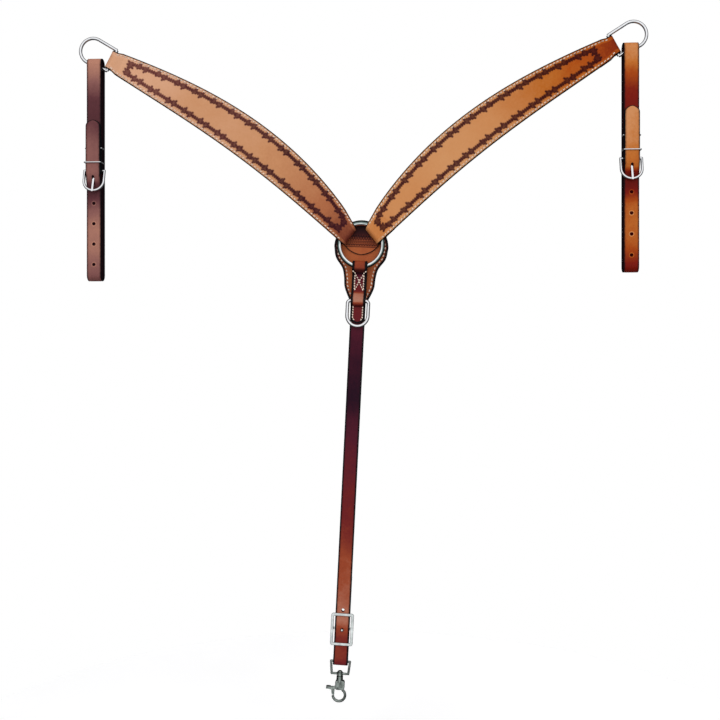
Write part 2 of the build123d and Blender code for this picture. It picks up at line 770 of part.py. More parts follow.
def make_snap_bail():
    """Wire stirrup through the strap's fold, with a hub below for the swivel."""
    plane = girth_face(SNAP_MID)
    low = BAIL_BAR + BAIL_DROP
    with BuildPart() as bail:
        with BuildLine(plane):
            Polyline(
                (-BAIL_HALF, -BAIL_BAR),
                (BAIL_HALF, -BAIL_BAR),
                (BAIL_HALF - BAIL_TAPER, -low),
                (BAIL_TAPER - BAIL_HALF, -low),
                (-BAIL_HALF, -BAIL_BAR),
            )
        with BuildSketch(Plane(origin=plane.from_local_coords((-BAIL_HALF, -BAIL_BAR)),
                               x_dir=(0, -1, 0), z_dir=ACROSS)):
            Circle(BAIL_WIRE)
        sweep(transition=Transition.ROUND)
        with BuildSketch(girth_cross(SNAP_MID, low + HUB_RADIUS / 2)):
            Circle(HUB_RADIUS)
        extrude(amount=HUB_RADIUS)
        with BuildSketch(girth_cross(SNAP_MID, low + HUB_RADIUS)):
            Circle(SWIVEL_RADIUS + RUNNING_GAP)
        extrude(amount=2 * HUB_RADIUS + 2, mode=Mode.SUBTRACT)
    save(bail, "snap_bail")


def make_swivel_rivet():
    """Headed pin that turns in the bail's hub and is fixed in the snap's body."""
    seat = BAIL_BAR + BAIL_DROP - HUB_RADIUS / 2
    with BuildPart() as rivet:
        with BuildSketch(girth_cross(SNAP_MID, BODY_TOP + 3)):
            Circle(SWIVEL_RADIUS)
        extrude(amount=BODY_TOP + 3 - seat + 1)
        with BuildSketch(girth_cross(SNAP_MID, seat - 0.2)):
            Circle(SWIVEL_HEAD)
        extrude(amount=2.4)
        fillet(rivet.edges().sort_by(Axis.Z)[-1], 1.6)
    save(rivet, "snap_swivel_rivet")


def make_snap_body():
    """Neck, slotted body and round hook in one casting."""
    plane = girth_face(SNAP_MID)
    neck_top = BODY_TOP - 4.0
    leave, lowest, finish = [
        (HOOK_RADIUS * cos(radians(a)), -HOOK_CENTRE + HOOK_RADIUS * sin(radians(a)))
        for a in HOOK_ANGLES
    ]
    turn = radians(HOOK_ANGLES[0])
    with BuildPart() as body:
        with BuildSketch(girth_face(SNAP_MID - BODY_THICK / 2)):
            with Locations((0.8, -GATE_PIN - 1.3)):
                RectangleRounded(BODY_SIZE, BODY_SIZE, 3.4)
        extrude(amount=BODY_THICK)
        fillet(body.faces().filter_by(Axis.Y).edges(), 1.2)
        with BuildSketch(girth_cross(SNAP_MID, GATE_PIN - 3)):
            Circle(NECK_RADIUS)
        extrude(amount=GATE_PIN - 3 - neck_top)
        with BuildLine(plane):
            ThreePointArc(leave, lowest, finish)
        with BuildSketch(Plane(origin=plane.from_local_coords(leave), x_dir=(0, -1, 0),
                               z_dir=ACROSS * sin(turn) - UP * cos(turn))):
            Circle(HOOK_WIRE)
        sweep()
        with BuildSketch(girth_face(SNAP_MID - 2.3)):
            with Locations((-4.5, -GATE_PIN - 4.7)):
                Rectangle(16.4, 20)
        extrude(amount=4.6, mode=Mode.SUBTRACT)
        with BuildSketch(girth_face(SNAP_MID - 6)):
            with Locations((GATE_PIN_ACROSS, -GATE_PIN)):
                Circle(PIN_RADIUS)
        extrude(amount=12, mode=Mode.SUBTRACT)
        with BuildSketch(girth_cross(SNAP_MID, BODY_TOP + 3)):
            Circle(SWIVEL_RADIUS)
        extrude(amount=20, mode=Mode.SUBTRACT)
    save(body, "snap_body")


def make_gate_pin():
    """Cross pin, its ends a touch proud of the body."""
    half = BODY_THICK / 2 + 0.1
    with BuildPart() as pin:
        with BuildSketch(girth_face(SNAP_MID - half)):
            with Locations((GATE_PIN_ACROSS, -GATE_PIN)):
                Circle(PIN_RADIUS)
        extrude(amount=2 * half)
    save(pin, "snap_gate_pin")


def make_snap_trigger():
    """Thumb lever to the left and a gate that closes the hook, turning on the pin."""
    gate_outer = -GATE_PIN - sqrt(GATE_REACH**2 - (GATE_OUTER - GATE_PIN_ACROSS)**2)
    gate_inner = -GATE_PIN - sqrt(GATE_REACH**2 - (GATE_INNER - GATE_PIN_ACROSS)**2)
    with BuildPart() as trigger:
        with BuildSketch(girth_face(SNAP_MID - 0.4)):
            with Locations((GATE_PIN_ACROSS, -GATE_PIN)):
                Circle(3.4)
            with BuildLine():
                Polyline(
                    (GATE_PIN_ACROSS, -GATE_PIN + 3.2),
                    (-9, -GATE_PIN - 4.2),
                    (-22.0, -GATE_PIN - 4.5),
                    (-22.6, -GATE_PIN - 7.9),
                    (-13.6, -GATE_PIN - 10.2),
                    (GATE_OUTER, gate_outer),
                    (GATE_INNER, gate_inner),
                    (-7.6, -GATE_PIN - 8.7),
                    (-1.0, -GATE_PIN - 3.2),
                    close=True,
                )
            make_face()
            with Locations((GATE_PIN_ACROSS, -GATE_PIN)):
                Circle(PIN_RADIUS + RUNNING_GAP, mode=Mode.SUBTRACT)
        extrude(amount=TRIGGER_THICK)
        with BuildSketch(girth_face(SNAP_MID - 3.2)):
            with Locations((-18.6, -GATE_PIN - 6.3)):
                RectangleRounded(8, 4.4, 1.4)
        extrude(amount=6.4)
    save(trigger, "snap_trigger")


def make_snap_spring():
    """Coil on the gate pin, beside the trigger."""
    with BuildPart() as spring:
        for i in range(SPRING_COILS):
            with BuildSketch(girth_face(SNAP_MID - 0.4)):
                with Locations((GATE_PIN_ACROSS, -GATE_PIN)):
                    Circle(2.5)
                    Circle(PIN_RADIUS + 0.2, mode=Mode.SUBTRACT)
            extrude(amount=-SPRING_WIRE * (i + 1))
    save(spring, "snap_spring")


make_ring()
make_safe()
make_disc()
make_hanger()
make_tie_down_dee()
make_girth_top()
make_girth_strap()
make_conway_buckle()
make_snap_bail()
make_swivel_rivet()
make_snap_body()
make_gate_pin()
make_snap_trigger()
make_snap_spring()
for wing_side in ("left", "right"):
    make_ring_loop(wing_side)
    make_wing_face(wing_side)
    make_wing_lining(wing_side)
    make_shoulder_dee(wing_side)
    make_tug_strap(wing_side)
    make_tug_buckle(wing_side)
    make_tug_tongue(wing_side)
    make_keeper(wing_side, "lower_keeper", LOWER_KEEPER, TIP_FRONT + TUG_THICK / 2 + KEEPER_WIRE + 0.4)
    make_keeper(wing_side, "upper_keeper", UPPER_KEEPER, TUG_RUN + TUG_THICK / 2 + KEEPER_WIRE + 0.3)
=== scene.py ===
from math import cos, pi, radians, sin, tan

import bmesh
import bpy
import numpy as np
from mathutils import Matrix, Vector


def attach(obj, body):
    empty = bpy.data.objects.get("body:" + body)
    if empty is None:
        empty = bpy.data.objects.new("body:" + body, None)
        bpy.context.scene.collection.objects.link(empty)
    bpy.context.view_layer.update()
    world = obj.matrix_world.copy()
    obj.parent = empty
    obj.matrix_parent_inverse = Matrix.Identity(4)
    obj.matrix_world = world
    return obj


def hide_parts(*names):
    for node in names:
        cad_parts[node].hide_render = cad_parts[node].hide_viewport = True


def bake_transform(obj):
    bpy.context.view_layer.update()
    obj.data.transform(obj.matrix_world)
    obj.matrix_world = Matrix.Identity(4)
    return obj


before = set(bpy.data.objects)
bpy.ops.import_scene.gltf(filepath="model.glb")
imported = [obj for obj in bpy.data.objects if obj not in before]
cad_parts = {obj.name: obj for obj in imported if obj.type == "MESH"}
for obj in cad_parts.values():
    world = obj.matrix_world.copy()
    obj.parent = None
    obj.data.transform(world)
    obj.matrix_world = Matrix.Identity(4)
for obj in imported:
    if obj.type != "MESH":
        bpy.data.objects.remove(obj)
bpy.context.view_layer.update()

# Western contoured breast collar, hung up by its shoulder dees.
# Soft pieces are worked out in millimetres, as the CAD is, and put in place in metres.
# "front" is distance towards the viewer, so y = -front.

MM = 0.001
rng = np.random.default_rng(7)

# ---- the driving dimensions that the leather shares with the CAD, mm and degrees ----
WING_REACH, WING_START, WING_RISE, WING_SKEW = 543.0, 23.8, 30.6, 0.88
END_HALF_WIDTH, BULGE, BULGE_SKEW, BULGE_FULL = 16.15, 18.2, 0.85, 0.8
WING_ANGLES = {"left": 36.6, "right": 37.9}
SIDES = ("left", "right")
WING_LEATHER, LINING_THICK = 3.0, 2.4
FLEX_REACH = 62.0
DEE_TRIM, TRIM_EXTRA, TRIM_TAPER = 531.0, 0.2, 0.35     # leather cut narrower beside the dee's legs
CREASE_REACH, CREASE_HALF = 22.3, 17.3
RING_FOLD, DEE_FOLD = 5.85, 4.55       # middle of the leather round the ring's wire and the dee's bar

STRAP = 25.4
TUG_THICK, TUG_RUN, TUG_LENGTH, TUG_TIP = 3.5, 9.25, 384.0, 108.8
TUG_SIDE_SHIFT = 5.0
DEE_BOW_AHEAD, DEE_BOW_RADIUS, DEE_WIRE, DEE_LEAN = 31.45, 21.9, 2.75, 0.064
HEEL_BAR, CHAPE_BAR, CHAPE_TAIL = 194.5, 7.25, 140.0
HEEL_BEND = 4.15
BUCKLE_BOTTOM, TIP_FRONT = 231.5, 15.65
TIP_ROUND = 11.0
HOLE_FIRST, HOLE_PITCH, HOLES, HOLE_RADIUS, HOLE_DEPTH = 251.0, 35.0, 4, 2.8, 4.4
# the tongue's slots: front, drop below the heel bar, radius, extra half length, depth
CHAPE_SLOT = (6.6, 1.5, 3.2, 3.3, 13.6)
BILLET_SLOT = (TUG_RUN + 4.0, 17.0, 2.2, 5.8, 12.0)

GIRTH_LEAN, GIRTH_THICK, GIRTH_MID, GIRTH_BACK = radians(2.85), 3.8, -4.3, -8.4
GIRTH_TOP, GIRTH_FLEX, DOUBLE_BACK, BAIL_BAR = 64.0, 150.0, 566.0, 711.0
STRAP_HOLE, CONWAY_PEG = 622.6, 656.4
OVERLAY_THICK, OVERLAY_MID, OVERLAY_END, TIE_BAR, BAR_SLEEVE = 3.2, -0.6, 133.0, 95.0, 6.0
RING_RADIUS, FOLD_TOP, FOLD_DEPTH = 36.8, -28.54, 6.0
SAFE_FRONT, SAFE_THICK, SAFE_LINING, SAFE_RADIUS, SAFE_CENTRE = -9.8, 2.4, 1.8, 46.5, -3.0
DISC_RISE, DISC_RADIUS, DISC_TOP_RADIUS, DISC_THICK = 19.2, 34.8, 40.0, 2.0

STITCH_PITCH, STITCH_LONG, STITCH_WIDE, STITCH_INSET = 6.3, 4.4, 1.9, 4.0


# ---- numbers along curves ----
def smooth(x, low, high):
    """0 below low, 1 above high, eased between. low may be the larger."""
    t = np.clip((x - low) / (high - low), 0, 1)
    return t * t * (3 - 2 * t)


def eased_curve(x, knots, values):
    """A smooth curve through a few knots."""
    knots, values = np.asarray(knots, float), np.asarray(values, float)
    slopes = np.gradient(values, knots)
    i = np.clip(np.searchsorted(knots, x) - 1, 0, len(knots) - 2)
    span = knots[i + 1] - knots[i]
    t = (x - knots[i]) / span
    return (
        values[i] * (1 + 2 * t) * (1 - t) ** 2
        + values[i + 1] * t * t * (3 - 2 * t)
        + span * slopes[i] * t * (1 - t) ** 2
        - span * slopes[i + 1] * t * t * (1 - t)
    )


def rounded(corners, radii, step=0.25):
    """Points along a line of corners, each corner rounded to its radius."""
    corners = [np.array(c, float) for c in corners]
    points = [corners[0]]
    for before, corner, after, radius in zip(corners, corners[1:], corners[2:], radii):
        a = (before - corner) / np.linalg.norm(before - corner)
        b = (after - corner) / np.linalg.norm(after - corner)
        half = np.arccos(np.clip(a @ b, -1, 1)) / 2
        middle = corner + (a + b) / np.linalg.norm(a + b) * radius / sin(half)
        first, last = corner + a * radius / tan(half), corner + b * radius / tan(half)
        count = max(3, int(radius * (pi - 2 * half) / step))
        for t in np.linspace(0, 1, count):
            chord = first + (last - first) * t - middle
            points.append(middle + chord * radius / np.linalg.norm(chord))
    points.append(corners[-1])
    return np.array(points)


def stations(points, spots):
    """Points and left-hand normals at distances along a line of points."""
    steps = np.linalg.norm(np.diff(points, axis=0), axis=1)
    keep = np.append(True, steps > 1e-6)
    points = points[keep]
    travelled = distances(points)
    at = np.stack([np.interp(spots, travelled, points[:, k]) for k in (0, 1)], axis=1)
    ahead = np.stack([np.interp(spots + 0.3, travelled, points[:, k]) for k in (0, 1)], axis=1)
    behind = np.stack([np.interp(spots - 0.3, travelled, points[:, k]) for k in (0, 1)], axis=1)
    way = ahead - behind
    way /= np.linalg.norm(way, axis=1)[:, None]
    return at, np.stack([-way[:, 1], way[:, 0]], axis=1)


def distances(points):
    """How far each point is along its line."""
    return np.append(0, np.cumsum(np.linalg.norm(np.diff(points, axis=0), axis=1)))


def length_of(points):
    return float(np.linalg.norm(np.diff(points, axis=0), axis=1).sum())


def spaced(length, step, tip=0.0):
    """Even distances, closer and closer over the last tip millimetres."""
    even = np.arange(0, length - tip, step)
    if not tip:
        return np.append(even, length)
    turns = np.linspace(0, pi / 2, max(8, int(tip / step * 1.6)))
    return np.append(even[even < length - tip - step / 2], length - tip + tip * np.sin(turns))


# ---- meshes ----
def make_piece(name, points, faces, material, attributes=()):
    """A smooth-shaded mesh in one material, with its point attributes."""
    mesh = bpy.data.meshes.new(name)
    mesh.from_pydata(points.tolist(), [], faces)
    for label, values in attributes:
        kind = "FLOAT_VECTOR" if values.ndim == 2 else "FLOAT"
        layer = mesh.attributes.new(label, kind, "POINT")
        layer.data.foreach_set("vector" if values.ndim == 2 else "value", values.ravel().astype("f"))
    shape = bmesh.new()
    shape.from_mesh(mesh)
    bmesh.ops.recalc_face_normals(shape, faces=shape.faces)
    shape.to_mesh(mesh)
    shape.free()
    mesh.materials.append(material)
    mesh.shade_smooth()
    piece = bpy.data.objects.new(name, mesh)
    bpy.context.scene.collection.objects.link(piece)
    return piece


def section(half, thick, bevel, across):
    """A strap's rounded section at every station: across, thickness, and which points are on the grain side.
    """
    t = thick / 2
    turn = np.linspace(0, pi / 2, 5)[1:-1]
    fine = np.linspace(-1, 1, across)
    coarse = np.linspace(1, -1, max(5, across // 6))
    reach = np.concatenate([fine, turn * 0 + 1, turn * 0 + 1, coarse, turn * 0 - 1, turn * 0 - 1])
    out = np.concatenate([fine * 0, np.sin(turn), np.cos(turn), coarse * 0, -np.sin(turn), -np.cos(turn)])
    up = np.concatenate([
        fine * 0 + t,
        t - bevel + bevel * np.cos(turn),
        -t + bevel - bevel * np.sin(turn),
        coarse * 0 - t,
        -t + bevel - bevel * np.cos(turn),
        t - bevel + bevel * np.sin(turn),
    ])
    body = np.maximum(half - bevel, 0.02)[:, None]
    round_off = np.minimum(bevel, half)[:, None]
    offset = reach[None, :] * body + out[None, :] * round_off
    return offset, np.broadcast_to(up, offset.shape), np.arange(len(reach)) < across


def steepness(half, spots):
    """Turns a distance straight across into the distance to a slanting edge."""
    return np.sqrt(1 + np.gradient(half, spots) ** 2)[:, None]


def along_curve(knots, levels):
    """A tone that changes along a strap only."""
    return lambda points, offset: np.interp(points[:, 1], knots, levels)[:, None]


def ribbon(name, points, normals, spots, half, thick, place, material, **look):
    """Leather of some thickness carried along a path, with rounded, painted edges.

    relief(points, offset, half, normals) gives height and stain for the grain side,
    tone(points, offset) shifts the colour, flesh shifts it again on the other side,
    and paint is how far the edge paint spreads."""
    relief, tone = look.get("relief"), look.get("tone")
    bevel, paint = look.get("bevel", 1.0), look.get("paint", 1.5)
    across, end_paint = look.get("across", 14), look.get("end_paint", True)
    half = np.broadcast_to(np.asarray(half, float), spots.shape).copy()
    offset, up, grain = section(half, thick, bevel, across)
    stain = np.zeros_like(offset)
    up = up.copy()
    if relief:
        height, dark = relief(points, offset[:, grain], half, normals)
        up[:, grain] += height
        stain[:, grain] = dark
    place_a = points[:, 0, None] + normals[:, 0, None] * up
    place_b = points[:, 1, None] + normals[:, 1, None] * up
    solid = place(place_a, place_b, offset) * MM
    inside = (half[:, None] - np.abs(offset)) / steepness(half, spots)
    ragged = 0.12 * np.sin(spots * 0.9)[:, None] + 0.14 * np.sin(spots * 0.37 + 1)[:, None]
    edge = smooth(inside + ragged, paint, paint * 0.6)
    if end_paint:
        from_end = np.minimum(spots - spots[0], spots[-1] - spots)
        edge = np.maximum(edge, smooth(from_end, 1.2, 0.3)[:, None])
    shade = np.broadcast_to(tone(points, offset) if tone else 0.5, offset.shape).copy()
    # flesh shifts the other side's tone; on the tugs it darkens it as painted shade seen through the punched
    # holes
    shade[:, ~grain] += look.get("flesh", 0.0)
    spot = np.stack([np.broadcast_to(spots[:, None], offset.shape), offset, up], axis=-1) * MM
    rows, ring = offset.shape
    index = np.arange(rows * ring).reshape(rows, ring)
    beside = np.roll(index, -1, axis=1)
    quads = np.stack([index[:-1], beside[:-1], beside[1:], index[1:]], axis=-1).reshape(-1, 4)
    faces = quads.tolist() + [index[0].tolist(), index[-1][::-1].tolist()]
    return make_piece(
        name, solid.reshape(-1, 3), faces, material,
        [("stain", stain.ravel()), ("edge", edge.ravel()), ("tone", shade.ravel()),
         ("spot", spot.reshape(-1, 3))],
    )


def stitch_row(at, ahead, out, long=STITCH_LONG, wide=STITCH_WIDE):
    """Points and faces of thread stitches lying on the leather at the given places."""
    profile = np.array([0.35, 0.85, 1.0, 0.85, 0.35])
    along = np.array([-0.5, -0.36, 0.0, 0.36, 0.5])
    turn = np.linspace(0, 2 * pi, 9)[:-1]
    side = np.cross(out, ahead)
    lean = rng.normal(0, 0.05, len(at))[:, None] + 0.1
    ahead = ahead + side * lean
    ring_up = (np.sin(turn) * 0.45 + 0.12)[None, :] * profile[:, None]
    ring_side = (np.cos(turn) * 0.5)[None, :] * profile[:, None]
    points = (
        at[:, None, None, :]
        + ahead[:, None, None, :] * along[None, :, None, None] * long
        + out[:, None, None, :] * ring_up[None, :, :, None] * wide
        + side[:, None, None, :] * ring_side[None, :, :, None] * wide
    )
    count, rings, around = points.shape[:3]
    index = np.arange(count * rings * around).reshape(count, rings, around)
    beside = np.roll(index, -1, axis=2)
    quads = np.stack([index[:, :-1], beside[:, :-1], beside[:, 1:], index[:, 1:]], axis=-1)
    faces = quads.reshape(-1, 4).tolist()
    faces += index[:, 0].tolist() + index[:, -1, ::-1].tolist()
    return points.reshape(-1, 3) * MM, faces


def thread_piece(name, rows, material):
    points, faces = [], []
    for row_points, row_faces in rows:
        start = sum(len(p) for p in points)
        points.append(row_points)
        faces += [[i + start for i in face] for face in row_faces]
    return make_piece(name, np.concatenate(points), faces, material)


def along_line(line, pitch, lift):
    """Stitch places, directions and outward normals along a line of (point, normal) in 3-D, in mm."""
    points, outward = line
    travelled = distances(points)
    count = max(1, round(travelled[-1] / pitch))
    spots = (np.arange(count) + 0.5) * travelled[-1] / count
    pick = lambda table, s: np.stack([np.interp(s, travelled, table[:, k]) for k in range(3)], axis=1)
    ahead = pick(points, spots + 0.6) - pick(points, spots - 0.6)
    ahead /= np.linalg.norm(ahead, axis=1)[:, None]
    out = pick(outward, spots)
    out /= np.linalg.norm(out, axis=1)[:, None]
    return pick(points, spots) + out * lift, ahead, out


# ---- materials ----
def srgb(red, green, blue):
    linear = [((c / 255 + 0.055) / 1.055) ** 2.4 if c > 10 else c / 3295 for c in (red, green, blue)]
    return (*linear, 1.0)


class Nodes:
    """A few short ways to add shader nodes."""

    def __init__(self, name):
        self.material = bpy.data.materials.new(name)
        self.material.use_nodes = True
        self.tree = self.material.node_tree
        self.shader = self.tree.nodes["Principled BSDF"]

    def add(self, kind, settings=None, **inputs):
        made = self.tree.nodes.new(kind)
        for key, value in (settings or {}).items():
            setattr(made, key, value)
        for key, value in inputs.items():
            self.feed(made.inputs[key.replace("_", " ")], value)
        return made

    def feed(self, socket, value):
        if isinstance(value, bpy.types.NodeSocket):
            self.tree.links.new(value, socket)
        else:
            socket.default_value = value

    def math(self, operation, a, b=0.0):
        made = self.tree.nodes.new("ShaderNodeMath")
        made.operation = operation
        self.feed(made.inputs[0], a)
        self.feed(made.inputs[1], b)
        return made.outputs[0]

    def attribute(self, name):
        return self.add("ShaderNodeAttribute", {"attribute_name": name})

    def noise(self, vector, scale, detail=4.0, roughness=0.55):
        return self.add(
            "ShaderNodeTexNoise", Vector=vector, Scale=scale, Detail=detail, Roughness=roughness
        ).outputs["Fac"]

    def ramp(self, factor, stops):
        made = self.add("ShaderNodeValToRGB", Fac=factor)
        elements = made.color_ramp.elements
        elements[0].position, elements[0].color = stops[0]
        elements[1].position, elements[1].color = stops[-1]
        for position, colour in stops[1:-1]:
            elements.new(position).color = colour
        return made.outputs["Color"]

    def mix(self, factor, a, b):
        made = self.tree.nodes.new("ShaderNodeMix")
        made.data_type = "RGBA"
        self.feed(made.inputs["Factor"], factor)
        self.feed(made.inputs["A"], a)
        self.feed(made.inputs["B"], b)
        return made.outputs["Result"]

    def spread(self, value, low, high):
        return self.add("ShaderNodeMapRange", Value=value, To_Min=low, To_Max=high).outputs["Result"]

    def bump(self, height, strength, distance):
        made = self.add("ShaderNodeBump", Height=height, Strength=strength, Distance=distance)
        self.feed(self.shader.inputs["Normal"], made.outputs["Normal"])


def leather(name, stops, antique, rough=0.45, blotch=0.3):
    """Dyed grain leather: blotched tone, antique stain in the tooling, painted edges, pores."""
    n = Nodes(name)
    spot = n.attribute("spot").outputs["Vector"]
    broad = n.noise(spot, 24.0, 5.0)
    mottle = n.noise(spot, 240.0, 6.0, 0.6)
    grain = n.noise(spot, 1500.0, 3.0)
    pores = n.add("ShaderNodeTexVoronoi", Vector=spot, Scale=1100.0).outputs["Distance"]
    shift = n.math("MULTIPLY", n.math("SUBTRACT", broad, 0.5), blotch)
    fleck = n.math("MULTIPLY", n.math("SUBTRACT", mottle, 0.5), 0.16)
    tone = n.math("ADD", n.math("ADD", n.attribute("tone").outputs["Fac"], shift), fleck)
    dyed = n.ramp(tone, stops)
    stain = n.math("MULTIPLY", n.attribute("stain").outputs["Fac"], n.spread(mottle, 0.82, 1.18))
    stained = n.mix(stain, dyed, n.ramp(tone, antique))
    edge = n.attribute("edge").outputs["Fac"]
    n.feed(n.shader.inputs["Base Color"], n.mix(edge, stained, BLACK_PAINT))
    gloss = n.math("ADD", n.spread(mottle, rough - 0.08, rough + 0.1), n.math("MULTIPLY", edge, 0.1))
    n.feed(n.shader.inputs["Roughness"], gloss)
    n.shader.inputs["Specular IOR Level"].default_value = 0.1
    height = n.math("ADD", n.math("MULTIPLY", pores, 0.6), n.math("ADD", grain, mottle))
    n.bump(height, 0.35, 0.00025)
    return n.material


def metal(name, colour, low, high, scale, relief, dull=0.86):
    """Plated or cast metal with uneven polish and fine handling marks."""
    n = Nodes(name)
    place = n.add("ShaderNodeTexCoord").outputs["Object"]
    cloud = n.noise(place, scale, 5.0)
    fine = n.noise(place, scale * 9, 4.0)
    n.feed(n.shader.inputs["Base Color"], n.ramp(cloud, [
        (0.3, tuple(c * dull for c in colour[:3]) + (1.0,)),
        (0.7, colour),
    ]))
    n.feed(n.shader.inputs["Roughness"], n.spread(fine, low, high))
    n.shader.inputs["Metallic"].default_value = 1.0
    n.bump(fine, relief, 0.0002)
    return n.material


def painted_reflection_ring(name, inner, outer):
    """Nickel with a painted reflection: a painted highlight on the ring's inner side and painted shade
    towards its outer side.
    """
    n = Nodes(name)
    place = n.add("ShaderNodeTexCoord").outputs["Object"]
    flat = n.add("ShaderNodeVectorMath", {"operation": "MULTIPLY"})
    n.feed(flat.inputs[0], place)
    flat.inputs[1].default_value = (1.0, 0.0, 1.0)
    reach = n.add("ShaderNodeVectorMath", {"operation": "LENGTH"})
    n.feed(reach.inputs[0], flat.outputs[0])
    fine = n.noise(place, 900.0, 4.0)
    uneven = n.math("MULTIPLY", n.math("SUBTRACT", n.noise(place, 160.0), 0.5), 0.002)
    span = n.add("ShaderNodeMapRange", Value=n.math("ADD", reach.outputs["Value"], uneven))
    span.inputs["From Min"].default_value, span.inputs["From Max"].default_value = inner * MM, outer * MM
    # painted reflection: bright on the inner half of the wire, painted shade on its outer half
    n.feed(n.shader.inputs["Base Color"], n.ramp(span.outputs["Result"], [
        (0.0, (0.92, 0.93, 0.93, 1.0)), (0.4, (0.9, 0.92, 0.91, 1.0)), (0.56, (0.2, 0.27, 0.25, 1.0)),
        (1.0, (0.05, 0.08, 0.08, 1.0)),
    ]))
    n.feed(n.shader.inputs["Roughness"], n.spread(fine, 0.08, 0.2))
    n.shader.inputs["Metallic"].default_value = 1.0
    n.bump(fine, 0.05, 0.0002)
    return n.material


def waxed_thread(name, colour):
    """Twisted thread, a little soiled here and there."""
    n = Nodes(name)
    place = n.add("ShaderNodeTexCoord").outputs["Object"]
    soil = n.noise(place, 90.0, 4.0)
    twist = n.add("ShaderNodeTexWave", Vector=place, Scale=420.0, Distortion=2.0).outputs["Fac"]
    dirty = tuple(c * 0.7 for c in colour[:3]) + (1.0,)
    n.feed(n.shader.inputs["Base Color"], n.ramp(soil, [(0.32, dirty), (0.55, colour)]))
    n.shader.inputs["Roughness"].default_value = 0.6
    n.bump(twist, 0.5, 0.0002)
    return n.material


BLACK_PAINT = srgb(9, 7, 12)
DARK_STAIN = [(0.3, srgb(22, 4, 12)), (1.0, srgb(70, 16, 12))]
WING_LEATHERS = {
    "left": leather(
        "left_wing_leather",
        [(0.0, srgb(224, 172, 138)), (0.4, srgb(204, 144, 100)), (0.7, srgb(176, 106, 68)),
         (1.0, srgb(110, 46, 30))],
        [(0.1, srgb(98, 44, 44)), (0.5, srgb(54, 6, 22))], rough=0.46, blotch=0.24,
    ),
    "right": leather(
        "right_wing_leather",
        [(0.0, srgb(216, 158, 108)), (0.4, srgb(206, 138, 84)), (0.7, srgb(188, 104, 34)),
         (0.85, srgb(174, 78, 10)), (1.0, srgb(138, 42, 2))],
        [(0.3, srgb(62, 8, 20)), (0.8, srgb(54, 0, 4))], rough=0.46, blotch=0.24,
    ),
}
TUG_LEATHERS = {
    "left": leather(
        "left_tug_leather",
        [(0.0, srgb(56, 20, 28)), (0.3, srgb(98, 54, 58)), (0.6, srgb(140, 92, 86)),
         (1.0, srgb(186, 130, 108))],
        DARK_STAIN, rough=0.42,
    ),
    "right": leather(
        "right_tug_leather",
        [(0.0, srgb(80, 2, 2)), (0.35, srgb(124, 20, 2)), (0.65, srgb(168, 70, 8)),
         (0.85, srgb(196, 112, 44)), (1.0, srgb(212, 144, 92))],
        DARK_STAIN, rough=0.42,
    ),
}
girth_leather = leather(
    "girth_leather",
    [(0.0, srgb(34, 2, 24)), (0.3, srgb(78, 18, 36)), (0.5, srgb(106, 26, 26)),
     (0.75, srgb(146, 64, 36)), (1.0, srgb(178, 120, 98))],
    DARK_STAIN, rough=0.4,
)
safe_leather = leather(
    "safe_leather",
    [(0.0, srgb(48, 14, 22)), (0.35, srgb(104, 40, 32)), (0.65, srgb(162, 82, 46)),
     (1.0, srgb(190, 112, 62))],
    DARK_STAIN, rough=0.42,
)
lining_leather = leather(
    "lining_leather", [(0.0, srgb(96, 58, 40)), (1.0, srgb(168, 116, 80))],
    [(0.0, srgb(50, 24, 16)), (1.0, srgb(70, 36, 22))], rough=0.72,
)
nickel = metal("bright_nickel", (0.90, 0.91, 0.92, 1.0), 0.06, 0.16, 140.0, 0.05)
ring_metal = painted_reflection_ring("painted_reflection_ring", RING_RADIUS - 4, RING_RADIUS + 4)
frame_nickel = metal("frame_nickel", (0.80, 0.85, 0.83, 1.0), 0.08, 0.2, 110.0, 0.06, dull=0.6)
snap_steel = metal("snap_steel", (0.42, 0.48, 0.44, 1.0), 0.16, 0.34, 150.0, 0.4, dull=0.22)
cream_thread = waxed_thread("cream_thread", srgb(246, 226, 206))


# ---- the wing's own frame: reach out along its chord, rise above it, front towards the viewer ----
def along(reach):
    return np.clip((reach - WING_START) / (WING_REACH - WING_START), 0, 1)


def centre_rise(reach):
    return WING_RISE * np.sin(pi * along(reach) ** WING_SKEW)


def half_width(reach):
    swell = np.maximum(np.sin(pi * along(reach) ** BULGE_SKEW), 0)
    return END_HALF_WIDTH + BULGE * swell ** BULGE_FULL


def slope(reach):
    low, high = np.maximum(reach - 0.5, WING_START), np.minimum(reach + 0.5, WING_REACH)
    return np.arctan((centre_rise(high) - centre_rise(low)) / (high - low))


def curve_point(reach, offset):
    turn = slope(reach)
    return reach - offset * np.sin(turn), centre_rise(reach) + offset * np.cos(turn)


END_SLOPE = float(slope(WING_REACH))


def wing_point(reach, offset):
    """In-plane place: straight-sided by the ring, along the curve, straight again by the dee."""
    near = (FLEX_REACH - reach) / (FLEX_REACH - CREASE_REACH)
    grip = offset * CREASE_HALF / half_width(FLEX_REACH)
    flex_x, flex_y = curve_point(np.full_like(reach, FLEX_REACH), offset)
    inner_x = flex_x + (CREASE_REACH - flex_x) * near
    inner_y = flex_y + (grip - flex_y) * near
    beyond = reach - WING_REACH
    outer_x = WING_REACH + beyond * cos(END_SLOPE) - offset * sin(END_SLOPE)
    outer_y = beyond * sin(END_SLOPE) + offset * cos(END_SLOPE)
    x, y = curve_point(reach, offset)
    to_outer = smooth(reach, WING_REACH - 34, WING_REACH - 18)
    x, y = x + (outer_x - x) * to_outer, y + (outer_y - y) * to_outer
    return np.where(reach < FLEX_REACH, inner_x, x), np.where(reach < FLEX_REACH, inner_y, y)


def wing_place(side):
    """Puts reach, front and offset along one wing into the frame."""
    sign = -1 if side == "left" else 1
    turn = radians(WING_ANGLES[side])

    def place(reach, front, offset):
        x, y = wing_point(reach, offset)
        across = sign * (x * cos(turn) - y * sin(turn))
        return np.stack([across, -front, x * sin(turn) + y * cos(turn)], axis=-1)

    return place


